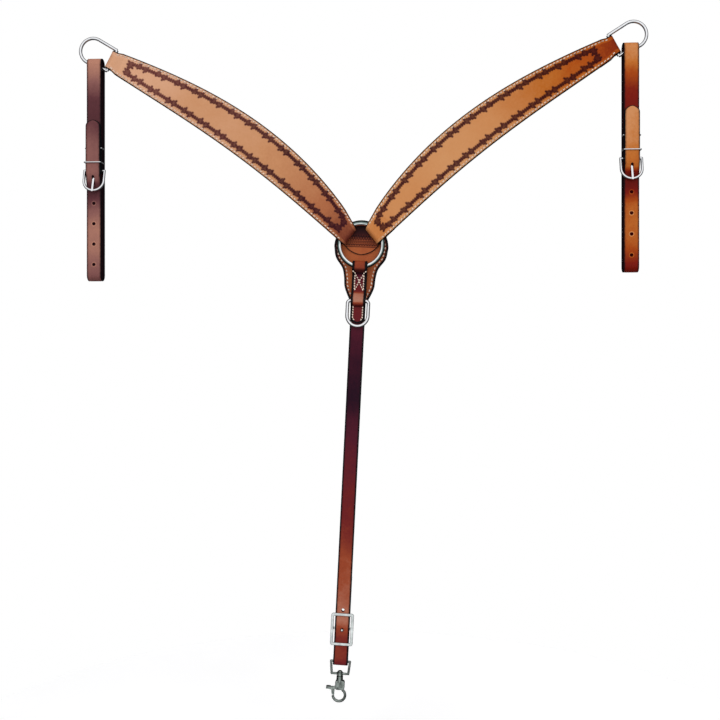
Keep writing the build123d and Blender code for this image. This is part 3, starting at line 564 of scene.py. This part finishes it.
def leather_half(reach):
    """Half width of the wing leather, its folds included, trimmed to clear the swinging dee's legs."""
    half = np.where(reach < FLEX_REACH, half_width(FLEX_REACH), half_width(np.minimum(reach, WING_REACH)))
    return np.minimum(half, END_HALF_WIDTH + TRIM_EXTRA + TRIM_TAPER * np.maximum(DEE_TRIM - reach, 0))


# ---- barbed-wire tooling: two twisted strands round the wing, knotted at intervals ----
TRACK_INSETS, TRACK_INNER, TRACK_OUTER, TRACK_ROUND = (12.8, 11.0), 46.0, 505.0, 8.0   # below, above
TWIST_PITCH, TWIST_REACH, STRAND_RADIUS = 8.0, 1.6, 1.05
KNOT_PITCH = 35.0
WRAPS = (-5.5, 5.5)
BARBS = (((-5.5, 0.8), (-8.4, 5.0)), ((-5.5, -0.8), (-4.4, -5.6)),
         ((5.5, 0.8), (5.0, 5.6)), ((5.5, -0.8), (8.2, -4.9)))


def distance_to_segment(x, y, a, b):
    ax, ay = a
    dx, dy = b[0] - ax, b[1] - ay
    t = np.clip(((x - ax) * dx + (y - ay) * dy) / (dx * dx + dy * dy), 0, 1)
    return np.hypot(x - ax - t * dx, y - ay - t * dy), t


def knot_places():
    """Centre and heading of each barb knot, and which of its wraps it has."""
    knots = []
    for hand in (-1, 1):
        for reach in np.arange(TRACK_INNER + 17, TRACK_OUTER - 12, KNOT_PITCH):
            reach = reach + rng.uniform(-1.5, 1.5)
            offset = hand * (float(half_width(reach)) - TRACK_INSETS[hand > 0])
            knots.append((reach, offset, rng.uniform(-0.1, 0.1), WRAPS))
    for reach in (TRACK_INNER + 1, TRACK_OUTER - 1):
        for hand in (-1, 1):
            room = float(half_width(reach)) - TRACK_INSETS[hand > 0]
            knots.append((reach, hand * 0.8 * room, pi / 2 + rng.uniform(-0.2, 0.2), (-2.0, 2.0)))
    return knots


def knot_distance(x, y, knots):
    """Distance outside the knots' wraps and barbs, negative inside."""
    best = np.full(x.shape, 50.0)
    for reach, offset, heading, wraps in knots:
        near = (np.abs(x - reach) < 15) & (np.abs(y - offset) < 12)
        if not near.any():
            continue
        px, py = x[near], y[near]
        c, s = cos(heading), sin(heading)
        to = lambda u, v: (reach + u * c - v * s, offset + u * s + v * c)
        found = np.full(px.shape, 50.0)
        for wrap in wraps:
            for lean in (-1.1, 1.1):
                gap, _ = distance_to_segment(px, py, to(wrap + lean - 0.5, -2.4), to(wrap + lean + 0.5, 2.4))
                found = np.minimum(found, gap - 1.45)
        for (u0, v0), (u1, v1) in BARBS:
            shift = wraps[0] - WRAPS[0] if u0 < 0 else wraps[1] - WRAPS[1]
            gap, t = distance_to_segment(px, py, to(u0 + shift, v0), to(u1 + shift, v1))
            found = np.minimum(found, gap - (1.8 - 0.9 * t))
        best[near] = np.minimum(best[near], found)
    return best


def wing_relief(knots):
    def relief(points, offset, half, normals):
        reach = np.broadcast_to(points[:, 0, None], offset.shape)
        inside = half[:, None] - np.abs(offset)
        within = inside - np.where(offset < 0, *TRACK_INSETS)
        ends = np.minimum(reach - TRACK_INNER, TRACK_OUTER - reach)
        a, b = TRACK_ROUND - ends, TRACK_ROUND - within
        corner = TRACK_ROUND - np.hypot(np.maximum(a, 0), np.maximum(b, 0))
        track = np.where((a > 0) & (b > 0), corner, np.minimum(ends, within))
        travel = np.where(within < ends, reach, offset)
        wave = TWIST_REACH * np.sin(2 * pi * travel / TWIST_PITCH)
        strands = np.minimum(np.abs(track - wave), np.abs(track + wave)) - STRAND_RADIUS
        shape = np.minimum(strands, knot_distance(reach, offset, knots))
        outside = np.maximum(shape, 0)
        height = 0.16 * smooth(shape, 0.1, -0.6) - 0.5 * np.exp(-((outside / 1.2) ** 2)) * (shape > -0.2)
        crown = 0.12 * smooth(shape, -0.25, -0.9)
        dark = np.where(shape > 0, np.exp(-((outside / 1.1) ** 2)), 1.0 - crown)
        groove = np.exp(-(((inside - STITCH_INSET) / 0.9) ** 2))
        facing = (normals[:, 1, None] > 0.5) & (reach > 30) & (reach < WING_REACH - 8)
        # painted shade in the folds round the ring's wire and the dee's bar, on the faces that don't look
        # forward
        fold_shade = 0.35 * smooth(reach, WING_REACH - 9, WING_REACH) + 0.55 * smooth(reach, 31, 21)
        return (
            np.where(facing, height - 0.4 * groove, 0.0),
            np.where(facing, np.maximum(dark, 0.3 * groove), fold_shade),
        )

    return relief


WING_FACE_ROUTE = rounded(
    [
        (57.5, -3.95), (46, -3.95), (36, -RING_FOLD),
        (29.5 - RING_FOLD, -RING_FOLD), (29.5 - RING_FOLD, RING_FOLD),
        (37, RING_FOLD), (56, 1.5), (519, 1.5), (532, DEE_FOLD),
        (541.5, DEE_FOLD), (541.5, -DEE_FOLD), (532, -DEE_FOLD), (517, -3.95), (503, -3.95),
    ],
    [12, 12, RING_FOLD - 0.05, RING_FOLD - 0.05, 14, 14, 12, 12,
     DEE_FOLD - 0.05, DEE_FOLD - 0.05, 12, 12],
)
# tone along each wing: partly the dye, partly painted shade darkening it by the ring's fold, and painted
# light and shade paling the left wing and darkening the right towards the dee
WING_TONE = {
    "left": ([20, 45, 71, 122, 206, 300, 384, 456, 520, 543],
             [1.0, 0.86, 0.78, 0.6, 0.44, 0.3, 0.33, 0.08, 0.12, 0.15]),
    "right": ([20, 45, 77, 128, 204, 301, 404, 482, 536],
              [0.52, 0.5, 0.36, 0.36, 0.2, 0.38, 0.7, 0.85, 1.0]),
}


def wing_tone(side):
    """Lighter along the stitched margins, and changing from ring to dee with the dye and with painted light
    and shade.
    """
    knots, levels = WING_TONE[side]

    def tone(points, offset):
        inside = leather_half(points[:, 0])[:, None] - np.abs(offset)
        return np.interp(points[:, 0], knots, levels)[:, None] - 0.16 * smooth(inside, 8.5, 6.0)

    return tone


def make_wing(side):
    place = wing_place(side)
    spots = spaced(length_of(WING_FACE_ROUTE), 0.75)
    points, normals = stations(WING_FACE_ROUTE, spots)
    face = ribbon(
        f"{side}_wing", points, normals, spots, leather_half(points[:, 0]), WING_LEATHER, place,
        WING_LEATHERS[side], relief=wing_relief(knot_places()), across=91,
        tone=wing_tone(side), paint=2.4,
    )
    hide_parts(f"{side}_wing_face", f"{side}_ring_loop")
    back = rounded([(42, -LINING_THICK / 2), (519, -LINING_THICK / 2)], [])
    spots = spaced(length_of(back), 2.5)
    points, normals = stations(back, spots)
    lining = ribbon(
        f"{side}_lining", points, normals, spots, leather_half(points[:, 0]), LINING_THICK, place,
        lining_leather, bevel=0.9, across=24,
    )
    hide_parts(f"{side}_wing_lining")
    thread = thread_piece(f"{side}_wing_stitching", wing_stitch_rows(place), cream_thread)
    for piece in (face, lining, thread):
        start, end = [
            place(*[np.array([v]) for v in (reach, 0.0, 0.0)])[0] * MM
            for reach in (FLEX_REACH - 7, FLEX_REACH + 7)
        ]
        tuple(start)
        tuple(end)
        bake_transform(piece)


def wing_stitch_rows(place):
    """Rows just inside both edges, on the front and again on the lining."""
    reach = np.arange(33.0, WING_REACH - 9, 1.0)
    route, _ = stations(WING_FACE_ROUTE, spaced(length_of(WING_FACE_ROUTE), 0.5))
    run = route[(route[:, 1] > 0)]
    front = np.interp(reach, run[:, 0], run[:, 1]) + WING_LEATHER / 2 - 0.35
    rows = []
    for hand in (-1, 1):
        offset = hand * (leather_half(reach) - STITCH_INSET)
        for level, out in ((front, -1.0), (np.full_like(reach, -LINING_THICK + 0.1), 1.0)):
            keep = slice(None) if out < 0 else (reach > 66) & (reach < WING_REACH - 46)
            line = place(reach, level, offset)[keep]
            outward = np.tile([0.0, out, 0.0], (len(line), 1))
            rows.append(stitch_row(*along_line((line, outward), STITCH_PITCH, 0.0)))
    return rows


# ---- straps in a vertical plane ----
def upright_place(origin, across, up):
    """Puts front, height and offset on an upright strap into the frame."""
    origin, across, up = [np.array(v, float) for v in (origin, across, up)]

    def place(front, height, offset):
        point = origin + across * offset[..., None] + up * height[..., None]
        return point - np.array([0, 1.0, 0]) * front[..., None]

    return place


def crease_relief(points, offset, half, normals):
    """A pressed line along both edges of the grain side."""
    inside = half[:, None] - np.abs(offset)
    line = np.exp(-(((inside - 2.9) / 0.55) ** 2))
    return -0.3 * line, 0.4 * line


def punch(piece, holes):
    """Holes and slots cut from front to back, each (centre, radius, extra half length, depth), in mm."""
    shape = bmesh.new()
    layers = [shape.verts.layers.float.new(label) for label in ("edge", "tone")]
    for centre, radius, extra, depth in holes:
        rings = []
        for share in (-0.5, 0.5):
            ring = []
            for k in range(24):
                a = 2 * pi * (k + 0.5) / 24
                up = radius * sin(a) + (extra if sin(a) > 0 else -extra)
                spot = Vector(centre) + Vector((radius * cos(a), depth * share, up))
                vert = shape.verts.new(spot * MM)
                # the hole walls get black edge paint and a dark tone, painted shade inside the holes and
                # slots
                vert[layers[0]], vert[layers[1]] = 0.9, 0.3
                ring.append(vert)
            rings.append(ring)
        for k in range(24):
            shape.faces.new((rings[0][k], rings[0][k - 1], rings[1][k - 1], rings[1][k]))
        shape.faces.new(rings[0])
        shape.faces.new(rings[1][::-1])
    bmesh.ops.recalc_face_normals(shape, faces=shape.faces)
    mesh = bpy.data.meshes.new("punch")
    shape.to_mesh(mesh)
    shape.free()
    mesh.materials.append(piece.data.materials[0])
    tool = bpy.data.objects.new("punch", mesh)
    bpy.context.scene.collection.objects.link(tool)
    cut = piece.modifiers.new("punch", "BOOLEAN")
    cut.object, cut.operation, cut.solver = tool, "DIFFERENCE", "EXACT"
    bake_modifiers(piece)
    bpy.data.objects.remove(tool)
    bpy.data.meshes.remove(mesh)


def bake_modifiers(piece):
    """Puts the cut mesh in the piece's place."""
    depsgraph = bpy.context.evaluated_depsgraph_get()
    made = bpy.data.meshes.new_from_object(piece.evaluated_get(depsgraph), depsgraph=depsgraph)
    piece.modifiers.clear()
    old = piece.data
    piece.data = made
    bpy.data.meshes.remove(old)
    made.name = piece.name


def dee_bow(side):
    """Middle of the shoulder dee's bow, x and z in mm."""
    x = WING_REACH + DEE_BOW_AHEAD * cos(END_SLOPE)
    y = DEE_BOW_AHEAD * sin(END_SLOPE)
    turn = radians(WING_ANGLES[side])
    sign = -1 if side == "left" else 1
    return sign * (x * cos(turn) - y * sin(turn)), x * sin(turn) + y * cos(turn)


def tug_top(side):
    """The fold rests where its outer edge meets the dee's sloping lower leg."""
    x, z = dee_bow(side)
    inward = 1 if side == "left" else -1
    leg = END_SLOPE + radians(WING_ANGLES[side]) - DEE_LEAN
    beyond = STRAP / 2 - TUG_SIDE_SHIFT
    wire_top = (beyond * sin(leg) - DEE_BOW_RADIUS + DEE_WIRE) / cos(leg)
    return x + inward * TUG_SIDE_SHIFT, z + wire_top + 0.3 + TUG_THICK


TUG_ROUTE = rounded(
    [
        (TUG_RUN - TUG_THICK - 0.3, -CHAPE_TAIL),
        (TUG_RUN - TUG_THICK - 0.3, -HEEL_BAR + 11),
        (CHAPE_BAR - HEEL_BEND, -HEEL_BAR + 5),
        (CHAPE_BAR - HEEL_BEND, -HEEL_BAR - HEEL_BEND),
        (CHAPE_BAR + HEEL_BEND, -HEEL_BAR - HEEL_BEND),
        (CHAPE_BAR + HEEL_BEND, -HEEL_BAR + 5),
        (TUG_RUN, -HEEL_BAR + 12),
        (TUG_RUN, -TUG_THICK / 2),
        (-TUG_RUN, -TUG_THICK / 2),
        (-TUG_RUN, -TUG_LENGTH + TUG_THICK / 2),
        (TUG_RUN, -TUG_LENGTH + TUG_THICK / 2),
        (TUG_RUN, -BUCKLE_BOTTOM + 8),
        (TIP_FRONT, -HEEL_BAR - 7),
        (TIP_FRONT, -TUG_TIP),
    ],
    [4, 4, 3.9, 3.9, 4, 4, 8.75, 8.75, 8.75, 8.75, 12, 12],
)
# tone down each tug; the dark level reached just below the buckle, near -240, is painted shadow under the
# buckle and keeper
TUG_TONE = {
    "left": ([-384, -367, -333, -296, -262, -238, -220, -107, -75, -41, -10],
             [0.42, 0.55, 0.78, 0.84, 0.52, 0.2, 0.2, 0.18, 0.24, 0.62, 0.98]),
    "right": ([-384, -379, -343, -306, -270, -243, -220, -107, -80, -37, -12],
              [0.2, 0.24, 0.68, 0.78, 0.68, 0.2, 0.2, 0.3, 0.38, 0.82, 0.95]),
}
TIP_TONE = {
    "left": ([-231, -198, -152, -116], [0.4, 0.62, 0.56, 0.3]),
    "right": ([-231, -207, -165, -131], [0.5, 0.78, 0.94, 0.98]),
}


def tug_tone(side):
    """Changes down the strap, again up its tip, and has a painted highlight round each punched hole."""
    knots, levels = TUG_TONE[side]
    tip_knots, tip_levels = TIP_TONE[side]

    def tone(points, offset):
        tip = smooth(points[:, 0], TUG_RUN + 0.6, TIP_FRONT - 2.0)
        run = np.interp(points[:, 1], knots, levels) * (1 - tip)
        base = (run + np.interp(points[:, 1], tip_knots, tip_levels) * tip)[:, None]
        # painted highlight: a lighter ring of tone round each punched hole
        beside = (-HOLE_FIRST - points[:, 1] + HOLE_PITCH / 2) % HOLE_PITCH - HOLE_PITCH / 2
        gap = np.hypot(beside[:, None], offset) - HOLE_RADIUS
        holed = (points[:, 1, None] < -HOLE_FIRST + 9) & (points[:, 1, None] > -HOLE_FIRST - 114)
        return base + np.where(holed, 0.34 * smooth(gap, 1.9, 0.7), 0.0)

    return tone


def make_tug(side):
    x, z = tug_top(side)
    place = upright_place((x, 0, z), (1, 0, 0), (0, 0, 1))
    length = length_of(TUG_ROUTE)
    spots = spaced(length, 1.0, tip=TIP_ROUND)
    points, normals = stations(TUG_ROUTE, spots)
    left = length - spots
    half = STRAP / 2 * np.sqrt(np.clip(1 - (1 - np.clip(left / TIP_ROUND, 0, 1)) ** 2, 0.004, 1))
    # flesh darkens the strap's back, painted shade seen through the punched holes
    strap = ribbon(
        f"{side}_tug", points, -normals, spots, half, TUG_THICK, place, TUG_LEATHERS[side],
        relief=crease_relief, tone=tug_tone(side), across=29, bevel=1.2, paint=2.3, flesh=-0.9,
    )
    holes = [((x, -TUG_RUN, z - HOLE_FIRST - i * HOLE_PITCH), HOLE_RADIUS, 0.0, HOLE_DEPTH)
             for i in range(HOLES)]
    # the tongue passes through the chape and, lower down, through the billet
    for front, drop, radius, extra, depth in (CHAPE_SLOT, BILLET_SLOT):
        holes.append(((x, -front, z - HEEL_BAR - drop), radius, extra, depth))
    punch(strap, holes)
    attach(strap, f"{side}_tug")
    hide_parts(f"{side}_tug_strap")


# ---- the hanger, safe and girth strap, all leaning together ----
LEAN_UP = (sin(GIRTH_LEAN), 0, cos(GIRTH_LEAN))
LEAN_ACROSS = (cos(GIRTH_LEAN), 0, -sin(GIRTH_LEAN))
girth_place = upright_place((0, 0, 0), LEAN_ACROSS, LEAN_UP)


def safe_half(height):
    """Half width of the safe at a height: round above, drawn in to a narrow neck."""
    round_top = np.sqrt(np.clip(SAFE_RADIUS ** 2 - (height - SAFE_CENTRE) ** 2, 0, None))
    neck = eased_curve(-height, [-SAFE_CENTRE, 22, 40, 54, 70, 98], [SAFE_RADIUS, 42.5, 30.5, 27.2, 25.6, 14])
    return np.where(height > SAFE_CENTRE, round_top, neck)


def safe_tone(points, offset):
    """Painted shade high up, under the wings' ends behind the ring, painted shadow on the lobes, more on the
    left, and browner low down.
    """
    base = np.interp(points[:, 1], [-98, -40, 0, 43], [0.66, 0.74, 0.7, 0.2])[:, None]
    # painted shadow on both lobes, deeper on the left
    lobe_shadow = smooth(np.abs(offset), 34, 41) * smooth(points[:, 1, None], -44, -22)
    return base - lobe_shadow * np.where(offset < 0, 0.5, 0.22)


def make_safe():
    turns = np.linspace(0, pi / 2, 60)
    height = np.append(SAFE_CENTRE + SAFE_RADIUS * np.cos(turns), np.arange(SAFE_CENTRE - 1.2, -98, -1.2))
    half = np.maximum(safe_half(height), 0.6)
    normals = np.tile([1.0, 0.0], (len(height), 1))
    for label, middle, thick, material, slot in (
        ("safe", SAFE_FRONT - SAFE_THICK / 2, SAFE_THICK, safe_leather, "safe_leather"),
        ("safe_lining", SAFE_FRONT - SAFE_THICK - SAFE_LINING / 2, SAFE_LINING, lining_leather,
         "lining_leather"),
    ):
        points = np.stack([np.full_like(height, middle), height], axis=1)
        piece = ribbon(
            label, points, normals, -height, half, thick, girth_place, material,
            tone=safe_tone, across=61, bevel=0.85, paint=5.0, end_paint=False,
        )
        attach(piece, "hanger")
        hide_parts("ring_safe_face" if label == "safe" else "ring_safe_lining")
    height = np.arange(36.0, -92, -0.8)
    half = safe_half(height)
    inset = 5.8 * np.sqrt(1 + np.gradient(half, -height) ** 2)
    rows = []
    for hand in (-1, 1):
        line = girth_place(np.full_like(height, SAFE_FRONT + 0.1), height, hand * (half - inset))
        outward = np.tile([0.0, -1.0, 0.0], (len(line), 1))
        rows.append(stitch_row(*along_line((line, outward), 6.6, 0.0), long=3.8, wide=2.2))
    thread = thread_piece("safe_stitching", rows, cream_thread)
    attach(thread, "hanger")


def disc_half(height):
    """The disc is round below, and follows the safe's top edge above."""
    low = np.sqrt(np.clip(DISC_RADIUS ** 2 - (height - DISC_RISE) ** 2, 0, None))
    high = np.sqrt(np.clip(DISC_TOP_RADIUS ** 2 - (height - SAFE_CENTRE) ** 2, 0, None))
    return np.minimum(low, high)


def disc_relief(points, offset, half, normals):
    """A generic tooled band: ruled lines round a row of arches, with beads and leaves above, and painted
    shade darkening it towards the top, under the wings' ends.
    """
    height = np.broadcast_to(points[:, 1, None], offset.shape)
    rules = sum(np.exp(-(((height - level) / 0.6) ** 2)) for level in (-2.6, 7.4))
    local = (offset + 100) % 4.4 - 2.2
    arches = np.exp(-(((np.hypot(local, height) - 1.9) / 0.6) ** 2)) * (height > -0.5) * (height < 3)
    beads = np.exp(-((np.hypot((offset + 100) % 3.2 - 1.6, height - 4.9) / 0.8) ** 2))
    leaves = np.exp(-((np.hypot(local, (height - 13) * 0.5) - 1.6) / 0.6) ** 2) * (height > 8)
    lines = np.clip(rules + arches + beads + leaves, 0, 1)
    band = 0.35 * smooth(height, -3.0, -1.8) * smooth(height, 8.0, 7.0)
    top_shade = 0.75 * smooth(height, 6.0, 22.0)
    return -0.45 * lines, np.clip(0.85 * lines + band + top_shade, 0, 1)


def make_disc():
    low, high = DISC_RISE - DISC_RADIUS, SAFE_CENTRE + DISC_TOP_RADIUS
    height = (low + high) / 2 + (high - low) / 2 * np.cos(np.linspace(0, pi, 130))
    half = np.maximum(disc_half(height), 0.5)
    points = np.stack([np.full_like(height, SAFE_FRONT + DISC_THICK / 2), height], axis=1)
    normals = np.tile([1.0, 0.0], (len(height), 1))
    # the tone darkens upwards as well, painted shade under the wings' ends
    disc = ribbon(
        "safe_disc", points, normals, -height, half, DISC_THICK, girth_place, safe_leather,
        relief=disc_relief, tone=along_curve([-16, 8, 24, 38], [0.76, 0.62, 0.2, 0.0]),
        across=81, bevel=0.8, paint=1.9, end_paint=False,
    )
    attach(disc, "hanger")
    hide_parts("centre_disc")


HANGER_REAR = SAFE_FRONT + 0.2 + OVERLAY_THICK / 2
HANGER_ROUTE = rounded(
    [
        (HANGER_REAR, -96), (HANGER_REAR, -62),
        (-FOLD_DEPTH, -47), (-FOLD_DEPTH, FOLD_TOP), (FOLD_DEPTH, FOLD_TOP), (FOLD_DEPTH, -41),
        (OVERLAY_MID, -52), (OVERLAY_MID, -TIE_BAR + 13),
        (BAR_SLEEVE, -TIE_BAR + 5), (BAR_SLEEVE, -TIE_BAR - 5),
        (OVERLAY_MID, -TIE_BAR - 9), (OVERLAY_MID, -OVERLAY_END),
    ],
    [4, 4, 5.8, 5.8, 4, 4, 4, 4, 2.2, 2.2],
)


def hanger_tone(points, offset):
    """Brown over the ring, burgundy under the box of stitches, pinkish over the dee's bar and lighter there
    as a painted highlight on the bulge.
    """
    knots = [-133, -108, -101, -96, -85, -79, -60, -50]
    run = np.interp(points[:, 1], knots, [0.42, 0.46, 0.5, 1.0, 0.94, 0.5, 0.36, 0.34])
    return np.where(points[:, 1] > -46, 0.7, run)[:, None]


def hanger_relief(points, offset, half, normals):
    """Creased edges, painted shadow in the valley under the fold, and painted shadow under the bulge over the
    dee's bar.
    """
    height, dark = crease_relief(points, offset, half, normals)
    front = points[:, 0] > OVERLAY_MID - 0.5
    # painted shadow: dark in the valley under the fold and just below the bulge over the dee's bar
    valley = np.exp(-(((points[:, 1] + 45.0) / 5.0) ** 4)) * front
    under = 0.8 * np.exp(-(((points[:, 1] + 104.0) / 2.5) ** 2)) * front
    return height, np.maximum(dark, (valley + under)[:, None])


def make_hanger():
    length = length_of(HANGER_ROUTE)
    spots = spaced(length, 0.8, tip=9.0)
    points, normals = stations(HANGER_ROUTE, spots)
    left = np.clip((length - spots) / 9.0, 0, 1)
    half = STRAP / 2 * np.sqrt(np.clip(1 - (1 - left) ** 2, 0.002, 1))
    hanger = ribbon(
        "hanger", points, normals, spots, half, OVERLAY_THICK, girth_place, girth_leather,
        relief=hanger_relief, tone=hanger_tone, across=33, bevel=1.1, paint=5.4,
    )
    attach(hanger, "hanger")
    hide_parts("hanger_strap")
    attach(thread_piece("hanger_stitching", hanger_stitch_rows(), cream_thread), "hanger")


def front_line(corners, step=0.5):
    """Points on the hanger's front, through (across, height) corners."""
    corners = np.array(corners, float)
    spans = distances(corners)
    spots = np.arange(0, spans[-1], step)
    across, height = [np.interp(spots, spans, corners[:, k]) for k in (0, 1)]
    run = HANGER_ROUTE[(HANGER_ROUTE[:, 1] < FOLD_TOP - 1) & (HANGER_ROUTE[:, 0] > OVERLAY_MID - 0.5)]
    order = np.argsort(run[:, 1])
    front = np.interp(height, run[order, 1], run[order, 0]) + OVERLAY_THICK / 2 + 0.05
    line = girth_place(front, height, across)
    return line, np.tile([0.0, -1.0, 0.0], (len(line), 1))


def hanger_stitch_rows():
    """Two columns with a cross whose top ends run over the edges, then two rows down the tab."""
    rows = []
    for corners in (
        [(-7.6, -51), (-7.6, -77)], [(7.6, -51), (7.6, -77)],
        [(-12.4, -44.5), (-8.5, -47), (0, -61.8), (7.4, -78)],
        [(12.4, -44.5), (8.5, -47), (0, -61.8), (-7.4, -78)],
        [(-8.2, -104), (-8.2, -124), (-5, -129)], [(8.2, -104), (8.2, -124), (5, -129)],
    ):
        rows.append(stitch_row(*along_line(front_line(corners), 4.6, 0.0), long=3.1, wide=2.2))
    return rows


BACK_TURN = 4.6
GIRTH_MIDDLE = (GIRTH_MID + GIRTH_BACK) / 2
GIRTH_ROUTE = rounded(
    [
        (GIRTH_MID, -GIRTH_TOP),
        (GIRTH_MID, -BAIL_BAR + 12),
        (GIRTH_MIDDLE + BACK_TURN, -BAIL_BAR + 3),
        (GIRTH_MIDDLE + BACK_TURN, -BAIL_BAR - BACK_TURN),
        (GIRTH_MIDDLE - BACK_TURN, -BAIL_BAR - BACK_TURN),
        (GIRTH_MIDDLE - BACK_TURN, -BAIL_BAR + 3),
        (GIRTH_BACK, -BAIL_BAR + 12),
        (GIRTH_BACK, -DOUBLE_BACK),
    ],
    [4, 3, BACK_TURN - 0.1, BACK_TURN - 0.1, 3, 4],
)
# tone down the girth strap; the rise near -641, by the Conway buckle, is a painted highlight
GIRTH_TONE = (
    [-716, -705, -670, -641, -603, -535, -467, -399, -331, -263, -195, -153, -64],
    [0.42, 0.6, 0.56, 0.9, 0.82, 0.72, 0.5, 0.42, 0.34, 0.0, 0.08, 0.26, 0.3],
)


def make_girth_strap():
    spots = spaced(length_of(GIRTH_ROUTE), 1.0)
    points, normals = stations(GIRTH_ROUTE, spots)
    strap = ribbon(
        "girth_strap_leather", points, normals, spots, STRAP / 2, GIRTH_THICK, girth_place,
        girth_leather, relief=crease_relief, tone=along_curve(*GIRTH_TONE),
        across=29, bevel=1.3, paint=3.2,
    )
    up = np.array(LEAN_UP)
    centres = [tuple(up * -drop - np.array([0, GIRTH_MIDDLE, 0])) for drop in (STRAP_HOLE, CONWAY_PEG)]
    punch(strap, [(centre, HOLE_RADIUS, 0.0, 8.8) for centre in centres])
    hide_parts("girth_strap_upper", "girth_strap")
    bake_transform(strap)


# ---- hardware keeps its CAD shape ----
def finish_hardware():
    steel = ("snap_bail", "snap_swivel_rivet", "snap_body", "snap_gate_pin", "snap_spring", "snap_trigger")
    bright = ["tie_down_dee"]
    for side in SIDES:
        bright += [f"{side}_{part}" for part in
                   ("shoulder_dee", "tug_buckle", "tug_tongue", "lower_keeper", "upper_keeper")]
    for names, material in (
        (steel, snap_steel), (bright, nickel), (["conway_buckle"], frame_nickel),
        (["centre_ring"], ring_metal),
    ):
        for name in names:
            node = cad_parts[name]
            for place in node.material_slots:
                place.material = material


# ---- floor, light and camera ----
TARGET = Vector((-0.0017, 0.0, -0.1955))
DISTANCE, YAW, VIEW_WIDE = 1.7, radians(3.5), 1.224


def make_floor():
    n = Nodes("pale_floor")
    place = n.add("ShaderNodeTexCoord").outputs["Object"]
    n.feed(n.shader.inputs["Base Color"], n.ramp(n.noise(place, 3.0), [
        (0.3, (0.90, 0.90, 0.90, 1.0)), (0.7, (0.94, 0.94, 0.94, 1.0)),
    ]))
    n.shader.inputs["Roughness"].default_value = 0.8
    n.shader.inputs["Specular IOR Level"].default_value = 0.1
    n.shader.inputs["Emission Color"].default_value = (1.0, 1.0, 1.0, 1.0)
    n.shader.inputs["Emission Strength"].default_value = 0.45
    ring = [(0.75 * cos(a), 0.75 * sin(a), -0.86) for a in np.linspace(0, 2 * pi, 97)[:-1]]
    floor = make_piece("floor", np.array(ring), [list(range(96))], n.material)
    floor.visible_glossy = False


def area_light(name, place, aim, size, power):
    light = bpy.data.lights.new(name, "AREA")
    light.shape, light.size, light.energy = "DISK", size, power
    lamp = bpy.data.objects.new(name, light)
    lamp.location = place
    lamp.rotation_mode = "QUATERNION"
    lamp.rotation_quaternion = (Vector(aim) - Vector(place)).to_track_quat("-Z", "Y")
    lamp.visible_glossy = False      # the metal mirrors only the soft studio round it
    bpy.context.scene.collection.objects.link(lamp)


def make_light():
    """White to the camera, a soft box to the metal, and three lamps."""
    world = bpy.data.worlds.new("studio")
    bpy.context.scene.world = world
    world.use_nodes = True
    tree = world.node_tree
    tree.nodes.clear()
    add, link = tree.nodes.new, tree.links.new
    place = add("ShaderNodeTexCoord")
    facing = add("ShaderNodeVectorMath")
    facing.operation = "DOT_PRODUCT"
    facing.inputs[1].default_value = (0.0, -0.46, 0.19)
    link(place.outputs["Generated"], facing.inputs[0])
    lift = add("ShaderNodeMath")
    lift.operation, lift.inputs[1].default_value = "ADD", 0.5
    link(facing.outputs["Value"], lift.inputs[0])
    ramp = add("ShaderNodeValToRGB")
    stops = ((0.0, 0.10), (0.3, 0.04), (0.62, 0.04), (0.76, 0.3), (0.88, 1.0), (1.0, 1.0))
    elements = ramp.color_ramp.elements
    for k, (position, level) in enumerate(stops):
        stop = elements[k] if k < 2 else elements.new(position)
        stop.position, stop.color = position, (level, level, level * 1.02, 1.0)
    link(lift.outputs[0], ramp.inputs["Fac"])
    soft, white = add("ShaderNodeBackground"), add("ShaderNodeBackground")
    link(ramp.outputs["Color"], soft.inputs["Color"])
    rays, mixed, out = add("ShaderNodeLightPath"), add("ShaderNodeMixShader"), add("ShaderNodeOutputWorld")
    link(rays.outputs["Is Camera Ray"], mixed.inputs[0])
    link(soft.outputs[0], mixed.inputs[1])
    link(white.outputs[0], mixed.inputs[2])
    white.inputs["Color"].default_value = (1.0, 1.0, 1.0, 1.0)
    link(mixed.outputs[0], out.inputs["Surface"])
    aim = (0.0, 0.0, -0.1)
    area_light("key", (-1.3, -1.9, 1.5), aim, 1.8, 19)
    area_light("fill", (1.6, -1.7, 0.5), aim, 1.6, 8)
    area_light("back", (0.4, 1.8, 1.5), aim, 1.4, 16)


def make_camera():
    data = bpy.data.cameras.new("camera")
    data.sensor_width = 36.0
    data.lens = data.sensor_width * DISTANCE / VIEW_WIDE
    camera = bpy.data.objects.new("camera", data)
    camera.location = TARGET + DISTANCE * Vector((sin(YAW), -cos(YAW), 0))
    camera.rotation_mode = "QUATERNION"
    camera.rotation_quaternion = (TARGET - camera.location).to_track_quat("-Z", "Y")
    bpy.context.scene.collection.objects.link(camera)
    bpy.context.scene.camera = camera
    bpy.context.scene.view_settings.view_transform = "Standard"


make_camera()
make_light()
make_floor()
for wing_side in SIDES:
    make_wing(wing_side)
    make_tug(wing_side)
make_safe()
make_disc()
make_hanger()
make_girth_strap()
finish_hardware()
